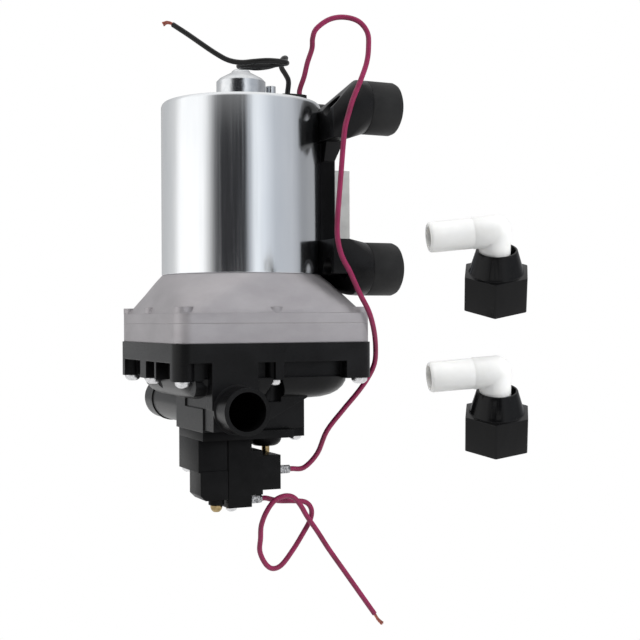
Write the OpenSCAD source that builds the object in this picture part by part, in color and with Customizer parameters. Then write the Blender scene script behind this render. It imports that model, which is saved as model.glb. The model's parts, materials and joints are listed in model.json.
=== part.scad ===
// Caravan water pump: a 12 volt diaphragm pump hung on a wall by four rubber feet, motor up.
// Sizes are millimetres. Every piece is drawn on the motor's axis, with height 0 where the castings
// meet the black pump head, and then moved to the mounting wall: origin between the four feet.

/* [Mounting] */
// Distance from the mounting wall to the motor's axis
wall_to_axis = 65; // [63:0.5:72]
// Distance between the feet across the motor
feet_pitch_x = 64; // [60:1:72]
// Distance between the feet along the motor
feet_pitch_z = 76; // [72:1:80]
// Height of the lower feet above the joint of head and castings
low_feet_z = 34; // [33:0.5:37]
// Diameter of a rubber foot
foot_d = 25; // [20:0.5:27]
// Length of a rubber foot
foot_length = 16.5; // [14:0.5:18]
// Diameter of the screw hole through a foot
foot_hole_d = 5.5; // [4.5:0.1:6.5]
// Outer diameter of the steel sleeve in a foot
sleeve_d = 8; // [7.5:0.1:9]
// Thickness of the curved band that carries the motor
band_wall = 6.7; // [5:0.1:8]
// Half the angle that the band wraps round the motor, in degrees
band_half_angle = 31; // [28:1:40]
// Thickness of the upright web behind the band
web_thickness = 2; // [1.5:0.1:3]

/* [Motor] */
// Outer diameter of the motor can
can_d = 76; // [74:0.5:78]
// Length of the motor can
can_length = 81.2; // [80:0.2:90]
// Wall of the motor can
can_wall = 2; // [1.6:0.1:2.4]
// Depth from the can's rim to its end plate
rim_depth = 2; // [1.5:0.1:3]
// Thickness of the end plate
end_plate_t = 2.5; // [2:0.1:3.5]
// Outer diameter of the bearing cup
cup_d = 23.5; // [23:0.1:26]
// Height of the straight side of the bearing cup
cup_side_h = 13.3; // [13:0.1:14.5]
// Height of the sloping shoulder above the straight side
cup_shoulder_h = 4.7; // [3.5:0.1:6]
// Diameter of the dome on the bearing cup
dome_d = 9; // [8:0.5:11]
// Height of the dome on the bearing cup
dome_h = 1.8; // [1:0.1:3]
// Outer diameter of the small rear bearing
rear_bearing_d = 19; // [17:0.5:20]
// Diameter of the shaft in the rear bearing
rear_journal_d = 6; // [5:0.5:7]
// Diameter of the motor shaft
shaft_d = 8; // [7:0.5:9]
// Air gap between the laminated core and the magnets
air_gap = 2; // [1:0.1:3]
// Number of slots in the core and bars on the commutator
slot_count = 10; // [8:1:14]
// Diameter of the commutator
commutator_d = 20; // [18:0.5:22]
// Thickness of the curved magnets
magnet_t = 5.5; // [4.5:0.1:6]
// Side of a square brush
brush_side = 6; // [5:0.2:7]
// Length of a brush
brush_length = 9; // [7:0.5:10]

/* [Castings] */
// Width of the castings, front to back
casting_x = 92; // [90:0.5:96]
// Width of the castings, side to side
casting_y = 94; // [92:0.5:98]
// Corner radius of the castings
casting_corner = 7.5; // [6:0.5:10]
// Height of the lower casting
housing_h = 8.8; // [8:0.1:10]
// Height of the flat edge of the upper casting
flange_h = 4.6; // [4:0.1:6]
// Height of the flare from the flat edge up to the can
flare_h = 17.9; // [17.5:0.1:22]
// Ledge left round the foot of the flare
flare_ledge = 1.8; // [1:0.1:3]
// How hollow the sides of the flare are: 1 is straight
flare_curve = 1.25; // [1:0.05:1.5]
// Outer diameter of the front bearing
front_bearing_d = 22; // [20:0.5:24]
// Width of the front bearing
front_bearing_w = 7; // [6:0.5:7]

/* [Drive] */
// Angle of the cam that rocks the wobble plate, in degrees
cam_angle = 3.5; // [2.5:0.1:3.8]
// Inner diameter of the bearing on the cam
hub_d = 17; // [15:0.5:18]
// Outer diameter of the bearing on the cam
hub_bearing_d = 30; // [28:0.5:31]
// Distance from the axis to each piston
piston_spread = 19; // [18:0.2:19.5]
// Diameter of a piston
piston_d = 20; // [18:0.5:20.5]
// Thickness of a piston
piston_t = 3.6; // [3:0.1:4]
// Thickness of the diaphragm
diaphragm_t = 1.2; // [1:0.1:1.4]

/* [Pump head] */
// How far the head stands out past the castings on each side
head_lip = 0.6; // [0.3:0.1:1]
// Height of the unbroken band round the top of the head
band_h = 8.4; // [7.5:0.1:10]
// Height of the whole skirt of the head, down to the screw heads
skirt_h = 16.4; // [15.8:0.1:18]
// Depth of the windows in the skirt
window_depth = 6; // [4:0.5:7]
// Depth of the bulging underside below the skirt
bulge_h = 9.2; // [8:0.2:10]
// How much narrower the bulge is on its two sides
bulge_side_inset = 5; // [3:0.1:6]
// Distance from the axis to the line of the two ports, side to side
port_offset = 20.3; // [19.5:0.1:21]
// Depth of the port line below the top of the head
port_drop = 29; // [28.6:0.1:30]
// Distance between the mouths of the two ports
port_span = 119; // [115:0.5:125]
// Outer diameter of a port
port_d = 20.9; // [20:0.1:21]
// Bore of a port
port_bore = 17; // [15:0.1:17.5]
// Depth of the foot of the head, where the switch is fastened
head_foot_drop = 39.6; // [39.4:0.1:42]
// Distance from the castings' front and back edges to the corner screws
screw_edge_x = 6; // [5:0.1:7]
// Distance from the castings' side edges to the corner screws
screw_edge_y = 4.5; // [4:0.1:5.5]
// Diameter of a head screw's shank
screw_d = 4; // [3.5:0.1:4.2]
// Diameter of a head screw's head
screw_head_d = 7.6; // [7:0.1:8]

/* [Pressure switch] */
// Thickness of the switch flange
switch_flange_t = 3.8; // [3.4:0.1:5]
// Front face of the switch, measured from the axis
switch_front = 28; // [27.5:0.1:29]
// Left side of the switch, measured from the axis
switch_left = 31.7; // [31:0.1:33]
// Place of the joint between switch body and cover, measured from the axis
switch_joint = 17.8; // [17.6:0.1:18]
// Lowest point of the switch body below the top of the head
switch_body_drop = 70.7; // [70:0.1:73]
// Lowest point of the switch cover below the top of the head
switch_cover_drop = 74.7; // [74.2:0.1:77]
// Travel of the switch plunger
plunger_travel = 1.2; // [0.8:0.1:1.3]
// Diameter of the brass adjusting screw's head
adjuster_head_d = 5.5; // [5:0.1:6]
// Diameter of the brass stud
stud_d = 3.7; // [3:0.1:4]

/* [Elbow fittings] */
// Size of the swivel nut across its flats
nut_flats = 23.6; // [23.4:0.1:25]
// Height of the hexagon of the swivel nut
nut_hex_h = 13.9; // [13.4:0.1:16]
// Height of the cone above the hexagon
nut_cone_h = 8.9; // [8:0.1:10]
// Diameter of the cone at its foot
nut_cone_d = 21; // [20:0.1:22]
// Diameter of the cone at its mouth
nut_mouth_d = 15.7; // [15:0.1:17]
// Diameter of the hose tail
barb_d = 11.6; // [11:0.1:12.4]
// Length of the hose tail from the elbow's corner
barb_length = 25.8; // [22:0.1:30]
// Bore of the elbow
elbow_bore = 8.8; // [7:0.1:9.2]

/* [Wires] */
// Outer diameter of the insulated wires
wire_d = 2.4; // [2:0.1:2.6]

/* [Hidden] */
$fn = 64;

// Clearances: a running fit, a pushed-in fit, a piece laid against another and a free gap
run_gap = 0.03;
seat_gap = 0.02;
touch_gap = 0.05;
free_gap = 0.3;
// A little extra on a cut, so that it breaks the surface cleanly
eps = 0.05;

// Heights along the motor's axis
flange_z = housing_h + flange_h;
can_z = flange_z + flare_h;
can_top = can_z + can_length;
plate_z = can_top - rim_depth - end_plate_t;
plate_top = plate_z + end_plate_t;
core_z = can_z + 8.7;
// The commutator carries the brushes above the brush card, and the core fills what is left below it
coil_head_h = 7.6;
card_lift = 0.4;
card_t = 2;
brush_lift = card_lift + card_t + brush_side / 2 + 0.7;
commutator_h = brush_lift + brush_side;
commutator_room = 2.3;
core_length = plate_z - commutator_room - commutator_h - coil_head_h - core_z;
commutator_z = core_z + core_length + coil_head_h;
card_z = commutator_z + card_lift;
brush_z = commutator_z + brush_lift;
front_bearing_z = can_z - 3.3 - front_bearing_w;
adaptor_web_z = front_bearing_z - 0.5;
shaft_z = housing_h + 0.8;
rear_bearing_w = 6;
rear_bearing_z = plate_top + 2.5;
shaft_top = rear_bearing_z + rear_bearing_w + 4;

// Radii inside the motor
can_r = can_d / 2;
can_in_r = can_r - can_wall;
core_d = 2 * (can_in_r - magnet_t - air_gap);
rim_r = can_in_r + can_wall * 0.45;
bolt_r = can_in_r - 3.2;
bolt_d = 4;

// Rocking pieces turn about a point in the middle of the diaphragm
rock_z = -diaphragm_t / 2;
hub_z = housing_h + 1.4;
hub_bearing_w = 7;
hub_bearing_z = hub_z + 0.8;
cell_roll_r = 1.5;
cell_r = piston_d / 2 + 2;
cavity_r = piston_spread + cell_r + cell_roll_r + 2.9;
wet_floor = -diaphragm_t - piston_t - 3.6;
valve_plate_h = -wet_floor - diaphragm_t + 2.2;
chamber_z = -diaphragm_t - valve_plate_h;
chamber_h = 3.9;
outlet_r = 11.8;
screw_boss_r = 4.3;

// Places of the eight head screws, and of the windows in the skirt between them
screw_x = casting_x / 2 - screw_edge_x;
screw_y = casting_y / 2 - screw_edge_y;
screw_spots = [
    [screw_x, -screw_y], [screw_x, 0], [screw_x, screw_y], [-5, screw_y],
    [-screw_x, screw_y], [-screw_x, 0], [-screw_x, -screw_y], [-5, -screw_y]
];
head_x = casting_x + 2 * head_lip;
head_y = casting_y + 2 * head_lip;
front_windows = [[-42.2, -31.7], [-10.3, -1.9], [2.1, 33]];
side_windows = [[-36, -9], [0.2, 13.5], [16.1, 36.8]];

// The ports, the check valve and the switch hang on these lines
port_y = -port_offset;
port_z = -port_drop;
port_x = port_span / 2;
check_x = 14;
check_y = 5.7;
check_r = 6;
boss_r = 7.9;
stud_x = check_x + 2;
stud_y = check_y - 0.4;
foot_z = -head_foot_drop;
block_right_x = 29;
block_right_y = 19.4;
flange_low = foot_z - switch_flange_t;
sense_x = switch_front - 4;
sense_y = -(switch_joint + 4.2);
guide_r = 2.6;
plunger_z = foot_z - 1.3;
stem_low = plunger_z - 11;
adjuster_top = -switch_body_drop + 4;
adjuster_low = -switch_body_drop - 2.7;
arm_z = plunger_z - 7;
button_y = -switch_joint + 8;
button_top = arm_z - 0.05;
terminal_z = [-59.5, -72.4];
terminal_x = 20;

// Feet and band
foot_face = wall_to_axis - foot_length;
foot_spots = [for (sx = [-1, 1], kz = [0, 1]) [sx * feet_pitch_x / 2, low_feet_z + kz * feet_pitch_z]];
feet_mid_z = low_feet_z + feet_pitch_z / 2;
arm_t = 4;
arm_tunnel_r = 4.6;
// The lower arms leave the band beside their feet, the upper arms below theirs, with a brace under them
low_arm_root = [low_feet_z + 1.5, foot_d - 1];
high_arm_root = [low_feet_z + feet_pitch_z - 9, 14];
brace_drop = 9;
band_in_r = can_r + touch_gap;
band_r = band_in_r + band_wall;
band_low = can_z + 0.2;
band_top = low_feet_z + feet_pitch_z - 2;
web_z = feet_mid_z - 22;
web_h = 34;
web_y = wall_to_axis - 8;

// Grommet and wires
wire_r = wire_d / 2;
grommet_x = 26;
black_y = 13;
red_y = 19.2;
grommet_top = plate_top + 4;

// Routes of the wires, from the motor or the switch to the far end
black_route = [
    [26, 13, 113], [26, 13.1, 115.4], [25.5, 13.8, 120.8], [24, 12.9, 124.3], [22.2, 11.8, 127.4],
    [20.7, 12.2, 130.3], [18.9, 14.1, 132.7], [15.6, 16.7, 133.8], [11.8, 17.3, 133.5],
    [8.2, 15.4, 132.4], [6.8, 11.3, 131], [9.2, 4.9, 129.4], [10.1, -0.2, 129.1],
    [11.8, -4.5, 128.5], [14.8, -6.7, 128.2], [18.6, -6.6, 127.8], [22.1, -3.7, 127.4],
    [23.6, 0.9, 127.4], [24.7, 5.9, 127.9], [28, 9.2, 128], [32.5, 9.9, 127.5], [36.5, 7.6, 127],
    [38, 3.5, 126.8], [36.4, -1.3, 127], [32.8, -6.2, 126.9], [28.5, -10.8, 126.9],
    [24, -15.4, 128.5], [19.6, -20.1, 132.2], [14.9, -25.1, 137], [9.9, -30.2, 142.1],
    [4.7, -35.3, 147]
];
red_route = [
    [26, 19.2, 113], [26, 19.2, 117], [28, 20.6, 123], [31, 21, 129], [34, 22, 135], [37, 21, 139],
    [39, 22, 143], [42, 27, 147], [45, 33, 148], [48, 39, 146], [49, 43, 141], [50, 43, 134],
    [50, 42, 127], [50, 39, 119], [50, 35, 110], [50, 33, 104], [50, 31, 97], [50, 30, 89],
    [50, 29, 78], [50, 28, 67], [50, 27, 56], [50, 27, 47], [50, 29, 39], [50, 33, 32],
    [50, 38, 22], [49, 43, 14], [46, 47, 6], [42, 50, -2], [39, 51, -10], [36, 49, -17],
    [33, 45, -24], [30, 39, -32], [27.1, 31.8, -41.9], [22.9, 28.8, -52.6], [20.1, 23.1, -59.3],
    [20, 17, -59.5], [20, 15.6, -59.5]
];
tail_route = [
    [20, 1.4, -72.4], [20, 4, -72.5], [20, 10, -74.1], [20, 18, -74.7], [20, 23.9, -75.7],
    [20, 26.8, -79.1], [20, 26.3, -84], [20, 22, -91], [20, 17, -98], [21, 11, -104],
    [22, 6, -105], [23, 2, -102], [24, -1, -96], [25, -1, -90], [26, -1, -84], [27, 1, -78],
    [27, 5, -73], [27, 10, -71], [26, 15, -72], [25, 19, -76], [24, 23, -82], [24, 28, -89],
    [24, 34, -98], [24, 42, -109], [24, 50, -120], [24, 58, -131]
];
black_bare = [[4.67, -35.33, 147.03], [3.96, -36.03, 147.7], [3.3, -37.8, 148], [2.7, -39.4, 147.2]];
tail_bare = [[24, 58, -131], [24, 60, -134], [24, 62.5, -136.5]];

// The two fittings stand beside the pump, a corner of the nut forward and leaning towards the front
elbow_spot = [144.7, 49.4];
elbow_heights = [22.2, -31.9];
elbow_turn = 60.6;
elbow_lean = [25.8, 19.2];
barb_turn = 13;
nut_turn = 25.8;
// Inside the nut: its thread from the mouth up, then a plain seat for the washer and the collar
nut_thread_r = port_d / 2 + 0.15;
nut_seat_r = nut_thread_r - 0.35;
nut_shoulder = nut_hex_h / 2 - 2;
collar_h = 3;
collar_low = nut_shoulder - collar_h - 0.1;
washer_t = 2.2;
thread_top = collar_low - washer_t - 0.2;
// The elbow hangs a little to the side of its tail in the loose nut
leg_r = barb_d / 2 + 0.25;
leg_shift = 0.9;
root_length = 9;
root_taper = 0.4;
tail_h = nut_hex_h / 2 + 16.6;

// Shapes that the pieces share

module in_row() {
    translate([0, -wall_to_axis, -feet_mid_z])
        children();
}

module tube(r, hole_r, h) {
    difference() {
        cylinder(r = r, h = h);
        translate([0, 0, -eps])
            cylinder(r = hole_r, h = h + 2 * eps);
    }
}

module block(low, high) {
    translate(low)
        cube(high - low);
}

module rounded_rect(w, d, r) {
    square([w - 2 * r, d], center = true);
    square([w, d - 2 * r], center = true);
    for (sx = [-1, 1], sy = [-1, 1])
        translate([sx * (w / 2 - r), sy * (d / 2 - r)])
            circle(r);
}

// A skin over a list of rings, each with the same number of points, closed by a fan at both ends
module skin(rings) {
    n = len(rings[0]);
    count = len(rings) * n;
    last = count - n;
    polyhedron(
        points = concat(
            [for (ring = rings, p = ring) p],
            [middle(rings[0]), middle(rings[len(rings) - 1])]
        ),
        faces = concat(
            [for (j = [0 : n - 1]) [count, j, (j + 1) % n]],
            [for (j = [0 : n - 1]) [count + 1, last + (j + 1) % n, last + j]],
            [
                for (i = [0 : len(rings) - 2], j = [0 : n - 1], half = [0, 1])
                    let (a = i * n + j, b = i * n + (j + 1) % n)
                        half == 0 ? [a, a + n, b + n] : [a, b + n, b]
            ]
        )
    );
}

function middle(ring) = [for (p = ring) 1] * ring / len(ring);

function unit(v) = v / norm(v);

// Directions along a route, and a side vector carried along it without twist
function along(route) = [
    for (i = [0 : len(route) - 1])
        unit(route[min(i + 1, len(route) - 1)] - route[max(i - 1, 0)])
];

function carried(dirs, i, side) =
    i == len(dirs) ? [] :
    let (next = unit(side - dirs[i] * (side * dirs[i])))
        concat([next], carried(dirs, i + 1, next));

// A round tube along a route
module swept(route, r, sides) {
    dirs = along(route);
    first = abs(dirs[0][2]) > 0.9 ? [1, 0, 0] : [0, 0, 1];
    side = carried(dirs, 0, first);
    skin([
        for (i = [0 : len(route) - 1])
            let (other = cross(dirs[i], side[i]))
                [
                    for (j = [0 : sides - 1])
                        let (a = j * 360 / sides)
                            route[i] + r * (cos(a) * side[i] + sin(a) * other)
                ]
    ]);
}

// A compression spring standing on z = 0
module coil_spring(r, wire, h, curls) {
    steps = 8;
    swept(
        [
            for (i = [0 : curls * steps])
                let (a = i * 360 / steps)
                    [r * cos(a), r * sin(a), wire / 2 + (h - wire) * i / (curls * steps)]
        ],
        wire / 2, 6
    );
}

// Distance from the centre to the edge of a rounded rectangle, in direction a
function edge_at(a, half_x, half_y, corner) =
    let (
        c = abs(cos(a)), s = abs(sin(a)),
        inner_x = half_x - corner, inner_y = half_y - corner,
        reach = c * inner_x + s * inner_y,
        rest = inner_x * inner_x + inner_y * inner_y - corner * corner
    )
    half_x * s <= inner_y * c ? half_x / c :
    half_y * c <= inner_x * s ? half_y / s :
    reach + sqrt(max(0, reach * reach - rest));

// Angles round a ring, closer together at the four corners
function ring_angles(n) = [for (i = [0 : n - 1]) let (t = i * 360 / n) t + 10.3 * sin(4 * t)];

function ring(n, z, half_x, half_y, corner) = [
    for (a = ring_angles(n))
        let (r = edge_at(a, half_x, half_y, corner))
            [r * cos(a), r * sin(a), z]
];

// The round-to-square flare, drawn a distance outside or inside its real surface
module flare(grow, z_low, z_high, n, steps) {
    half_x = casting_x / 2 - flare_ledge;
    half_y = casting_y / 2 - flare_ledge;
    skin([
        for (i = [0 : steps])
            let (
                z = z_low + (z_high - z_low) * i / steps,
                t = pow(min(1, max(0, (can_z - z) / flare_h)), flare_curve),
                hx = can_r + (half_x - can_r) * t + grow,
                hy = can_r + (half_y - can_r) * t + grow,
                corner = (can_r + (casting_corner - can_r) * pow(t, 0.6)) + grow
            )
                ring(n, z, hx, hy, corner)
    ]);
}

// Motor

module motor_can() color("silver") in_row() difference() {
    translate([0, 0, can_z])
        rotate_extrude($fn = 96)
            polygon([
                [can_in_r, 0], [can_r - 0.4, 0], [can_r, 0.4], [can_r, can_length - 1.6],
                [can_r - 0.35, can_length - 0.6], [can_r - 0.95, can_length],
                [rim_r + seat_gap, can_length], [rim_r + seat_gap, can_length - rim_depth - end_plate_t],
                [can_in_r, can_length - rim_depth - end_plate_t]
            ]);
    // The butt joint of the rolled can, with its keyed ends
    rotate([0, 0, -114])
        translate([can_r - 0.5, -0.3, can_z - eps])
            cube([2, 0.6, can_length + 2 * eps]);
    for (z = [can_z + 3.2, can_top - 3.6])
        rotate([0, 0, -114])
            translate([can_r - 0.9, 0, z])
                rotate([0, 90, 0])
                    cylinder(r = 1.2, h = 2, $fn = 24);
}

module end_plate() color("silver") in_row() difference() {
    union() {
        translate([0, 0, plate_z])
            cylinder(r = rim_r, h = end_plate_t);
        // Pressed boss beside the bearing cup
        translate([0, cup_d / 2 + 3.6, plate_top - eps])
            cylinder(r = 2.4, h = 12.5, $fn = 32);
    }
    translate([0, 0, plate_z - eps])
        cylinder(r = rear_journal_d / 2 + 2, h = end_plate_t + 2 * eps);
    for (sy = [-1, 1])
        translate([0, sy * bolt_r, plate_z - eps])
            cylinder(d = bolt_d + 0.4, h = end_plate_t + 2 * eps);
    grommet_hole(plate_z - eps, end_plate_t + 2 * eps, 2.6);
}

module grommet_hole(z, h, r) {
    for (y = [black_y, red_y])
        translate([grommet_x, y, z])
            cylinder(r = r, h = h, $fn = 32);
    translate([grommet_x - r, black_y, z])
        cube([2 * r, red_y - black_y, h]);
}

module bearing_cup() color("silver") in_row() difference() {
    cup_r = cup_d / 2;
    cup_h = cup_side_h + cup_shoulder_h;
    bearing_r = rear_bearing_d / 2;
    translate([0, 0, plate_top])
        rotate_extrude()
            polygon(concat(
                [
                    [bearing_r + seat_gap, 0], [cup_r + 1, 0], [cup_r + 1, 1.2], [cup_r, 2],
                    [cup_r, cup_side_h], [cup_r - 1.6, cup_side_h + 1.6], [dome_d / 2 + 0.8, cup_h - 0.5],
                    [dome_d / 2, cup_h]
                ],
                [for (a = [15 : 15 : 75]) [dome_d / 2 * cos(a), cup_h + dome_h * sin(a)]],
                [
                    [0, cup_h + dome_h], [0, shaft_top - plate_top + 1.5],
                    [rear_journal_d / 2 + 1.2, shaft_top - plate_top + 1.5],
                    [rear_journal_d / 2 + 1.2, rear_bearing_w + 2.6],
                    [bearing_r + seat_gap, rear_bearing_w + 2.6]
                ]
            ));
}

module wire_grommet() color("dimgray") in_row() difference() {
    union() {
        grommet_hole(plate_z - 1, end_plate_t + 2, 2.55);
        grommet_hole(plate_top + seat_gap, grommet_top - plate_top, 3.3);
    }
    for (y = [black_y, red_y])
        translate([grommet_x, y, plate_z - 2])
            cylinder(r = wire_r + 0.05, h = grommet_top - plate_z + 4, $fn = 32);
}

module magnets() color("dimgray") in_row() {
    half_angle = 62;
    for (turn = [0, 180])
        rotate([0, 0, turn])
            translate([0, 0, core_z - 4])
                intersection() {
                    tube(can_in_r - seat_gap, can_in_r - magnet_t, core_length + 8);
                    linear_extrude(core_length + 8)
                        polygon([
                            [0, 0], [2 * can_r * cos(half_angle), -2 * can_r * sin(half_angle)],
                            [2 * can_r, 0], [2 * can_r * cos(half_angle), 2 * can_r * sin(half_angle)]
                        ]);
                }
}

module brush_box(w) {
    block([commutator_d / 2 + 2, -w / 2, card_z + card_t - eps],
        [can_in_r - 5, w / 2, brush_z + brush_side / 2 + 1.6]);
}

module brush_card() color("saddlebrown") in_row() difference() {
    union() {
        translate([0, 0, card_z])
            tube(can_in_r - seat_gap, commutator_d / 2 + 3, card_t);
        brush_box(brush_side + 3);
        rotate([0, 0, 180])
            brush_box(brush_side + 3);
    }
    // The brushes slide in square channels, closed at the outer ends
    for (turn = [0, 180])
        rotate([0, 0, turn])
            translate([0, -brush_side / 2 - run_gap, brush_z - brush_side / 2 - run_gap])
                cube([can_in_r - 6.5, brush_side + 2 * run_gap, brush_side + 2 * run_gap]);
    for (sy = [-1, 1])
        translate([0, sy * bolt_r, card_z - eps])
            cylinder(d = bolt_d + 0.4, h = card_t + 2 * eps);
}

module brush() difference() {
    translate([commutator_d / 2 - 0.6, -brush_side / 2, brush_z - brush_side / 2])
        cube([brush_length + 0.6, brush_side, brush_side]);
    translate([0, 0, commutator_z])
        cylinder(r = commutator_d / 2 + 0.1, h = commutator_h);
}

module brush_front() color("black") in_row() brush();

module brush_back() color("black") in_row() rotate([0, 0, 180]) brush();

module brush_spring() {
    from = commutator_d / 2 + brush_length + 0.1;
    translate([from, 0, brush_z])
        rotate([0, 90, 0])
            coil_spring(brush_side / 2 - 0.9, 0.7, can_in_r - 6.6 - from, 5);
}

module brush_spring_front() color("silver") in_row() brush_spring();

module brush_spring_back() color("silver") in_row() rotate([0, 0, 180]) brush_spring();

// A ball bearing seen as one ring, with the grooves between its races and its shield
module ball_bearing(r, hole_r, w) {
    third = (r - hole_r) / 3;
    rotate_extrude()
        polygon([
            [hole_r, 0], [hole_r + third, 0], [hole_r + third, 0.5], [r - third, 0.5], [r - third, 0],
            [r, 0], [r, w], [r - third, w], [r - third, w - 0.5], [hole_r + third, w - 0.5],
            [hole_r + third, w], [hole_r, w]
        ]);
}

module rear_bearing() color("lightgray") in_row()
    translate([0, 0, rear_bearing_z])
        ball_bearing(rear_bearing_d / 2, rear_journal_d / 2 + run_gap, rear_bearing_w);

module front_bearing() color("lightgray") in_row()
    translate([0, 0, front_bearing_z])
        ball_bearing(front_bearing_d / 2, shaft_d / 2 + run_gap, front_bearing_w);

module armature_shaft() color("lightgray") in_row() {
    translate([0, 0, shaft_z])
        cylinder(d = shaft_d, h = rear_bearing_z - 1 - shaft_z);
    translate([0, 0, rear_bearing_z - 1 - eps])
        cylinder(d = rear_journal_d, h = shaft_top - rear_bearing_z + 1);
}

module armature_core() color("gray") in_row() difference() {
    translate([0, 0, core_z])
        tube(core_d / 2, shaft_d / 2 + seat_gap, core_length);
    for (i = [0 : slot_count - 1])
        rotate([0, 0, i * 360 / slot_count])
            translate([0, 0, core_z - eps]) {
                translate([core_d / 2 - 8, -1.2, 0])
                    cube([9, 2.4, core_length + 2 * eps]);
                translate([core_d / 2 - 10, 0, 0])
                    cylinder(r = 3.4, h = core_length + 2 * eps, $fn = 24);
            }
}

module armature_windings() color("chocolate") in_row() {
    r = core_d / 2 - 10;
    // Copper in the slots, and the coil heads beyond both ends of the core
    for (i = [0 : slot_count - 1])
        rotate([0, 0, i * 360 / slot_count])
            translate([r, 0, core_z - 1])
                cylinder(r = 3.35, h = core_length + 2, $fn = 24);
    for (z = [core_z - 7.5, core_z + core_length + 0.1])
        translate([0, 0, z])
            rotate_extrude()
                polygon([
                    [r - 9, 0], [r + 3, 0], [r + 4.5, 1.5], [r + 4.5, 6], [r + 3, 7.4], [r - 9, 7.4]
                ]);
}

module commutator() color("peru") in_row() difference() {
    translate([0, 0, commutator_z])
        tube(commutator_d / 2, shaft_d / 2 + seat_gap, commutator_h);
    for (i = [0 : slot_count - 1])
        rotate([0, 0, (i + 0.5) * 360 / slot_count])
            translate([commutator_d / 2 - 1.2, -0.3, commutator_z - eps])
                cube([2, 0.6, commutator_h + 2 * eps]);
}

module motor_bolts() color("silver") in_row()
    for (sy = [-1, 1])
        translate([0, sy * bolt_r, can_z - 2.5]) {
            cylinder(d = bolt_d, h = plate_top - can_z + 2.6);
            translate([0, 0, plate_top - can_z + 2.5])
                cylinder(r = 3, h = 1.4, $fn = 6);
        }

// Castings

module motor_adaptor() color("darkgray") in_row() difference() {
    union() {
        flare(0, flange_z - eps, can_z, 72, 6);
        translate([0, 0, housing_h])
            linear_extrude(flange_h)
                rounded_rect(casting_x, casting_y, casting_corner);
        // Spigot that centres the can
        translate([0, 0, can_z - eps])
            tube(can_in_r - seat_gap, can_in_r - 4, 3.5);
        // Bosses over the eight screws
        for (p = screw_spots)
            translate([p[0], p[1], flange_z - eps])
                cylinder(r = screw_boss_r, h = 2.8, $fn = 32);
    }
    // Cavity for the wobble plate, seat of the front bearing, and hollow towards the motor
    translate([0, 0, housing_h - eps])
        cylinder(r = cavity_r - 4, h = adaptor_web_z - housing_h);
    translate([0, 0, adaptor_web_z - 1])
        cylinder(d = front_bearing_d + 2 * seat_gap, h = front_bearing_z + front_bearing_w - adaptor_web_z + 1);
    translate([0, 0, adaptor_web_z])
        cylinder(r = shaft_d / 2 + 3, h = can_z - adaptor_web_z + 1);
    translate([0, 0, can_z - 2.4])
        cylinder(r = bolt_r - 3.4, h = 3);
    for (sy = [-1, 1])
        translate([0, sy * bolt_r, can_z - 2.7])
            cylinder(d = bolt_d + 2 * seat_gap, h = 7);
    for (p = screw_spots)
        translate([p[0], p[1], housing_h - eps])
            cylinder(d = screw_d + 0.1, h = flange_h + 1.4, $fn = 32);
}

module drive_housing() color("darkgray") in_row() difference() {
    linear_extrude(housing_h - seat_gap)
        rounded_rect(casting_x, casting_y, casting_corner);
    translate([0, 0, -eps])
        cylinder(r = cavity_r - 1.8, h = housing_h + 2 * eps);
    for (p = screw_spots)
        translate([p[0], p[1], -eps])
            cylinder(d = screw_d + 0.4, h = housing_h + 2 * eps, $fn = 32);
}

// Drive: everything in here leans with the cam about the middle of the diaphragm

module leaning() {
    translate([0, 0, rock_z])
        rotate([0, cam_angle, 0])
            translate([0, 0, -rock_z])
                children();
}

module at_pistons() {
    for (i = [0 : 2])
        rotate([0, 0, 60 + 120 * i])
            translate([piston_spread, 0, 0])
                children();
}

module cam_hub() color("silver") in_row() difference() {
    leaning() {
        translate([0, 0, hub_z])
            cylinder(d = hub_d, h = hub_bearing_w + 1.4);
        translate([0, 0, hub_bearing_z + hub_bearing_w + 0.1])
            cylinder(d = hub_d + 3, h = 1);
    }
    translate([0, 0, hub_z - 2])
        cylinder(d = shaft_d + 2 * seat_gap, h = 20);
}

module hub_bearing() color("lightgray") in_row() leaning()
    translate([0, 0, hub_bearing_z])
        ball_bearing(hub_bearing_d / 2, hub_d / 2 + run_gap, hub_bearing_w);

module wobble_plate() color("gainsboro") in_row() leaning() difference() {
    cup_r = hub_bearing_d / 2 + 2.5;
    union() {
        translate([0, 0, hub_z - 1.8])
            cylinder(r = cup_r, h = hub_bearing_w + 2.4);
        // A plate with three lobes, one over each piston
        translate([0, 0, 4.2])
            linear_extrude(hub_z - 5.8) {
                circle(cup_r + 3);
                at_pistons_flat()
                    circle(piston_d / 2 - 0.5);
            }
        at_pistons()
            translate([0, 0, 0.05])
                cylinder(d = piston_d - 1, h = 4.3);
    }
    translate([0, 0, hub_bearing_z - seat_gap])
        cylinder(d = hub_bearing_d + 2 * seat_gap, h = 20);
    translate([0, 0, hub_z - 1])
        cylinder(r = hub_d / 2 + 1.5, h = 20);
    at_pistons()
        translate([0, 0, -eps])
            cylinder(d = 3.3, h = 7, $fn = 32);
}

module at_pistons_flat() {
    for (i = [0 : 2])
        rotate(60 + 120 * i)
            translate([piston_spread, 0])
                children();
}

module pistons() color("whitesmoke") in_row() leaning() at_pistons()
    translate([0, 0, -diaphragm_t - 0.05 - piston_t])
        rotate_extrude()
            polygon([
                [3.3, 0], [piston_d / 2 - 1, 0], [piston_d / 2, 1], [piston_d / 2, piston_t],
                [1.7, piston_t], [1.7, 2], [3.3, 2]
            ]);

module piston_screws() color("silver") in_row() leaning() at_pistons()
    translate([0, 0, -diaphragm_t - 0.05 - piston_t]) {
        translate([0, 0, 0.1])
            cylinder(r = 3.2, h = 1.85, $fn = 32);
        cylinder(r = 1.6, h = piston_t + diaphragm_t + 5, $fn = 32);
    }

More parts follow.
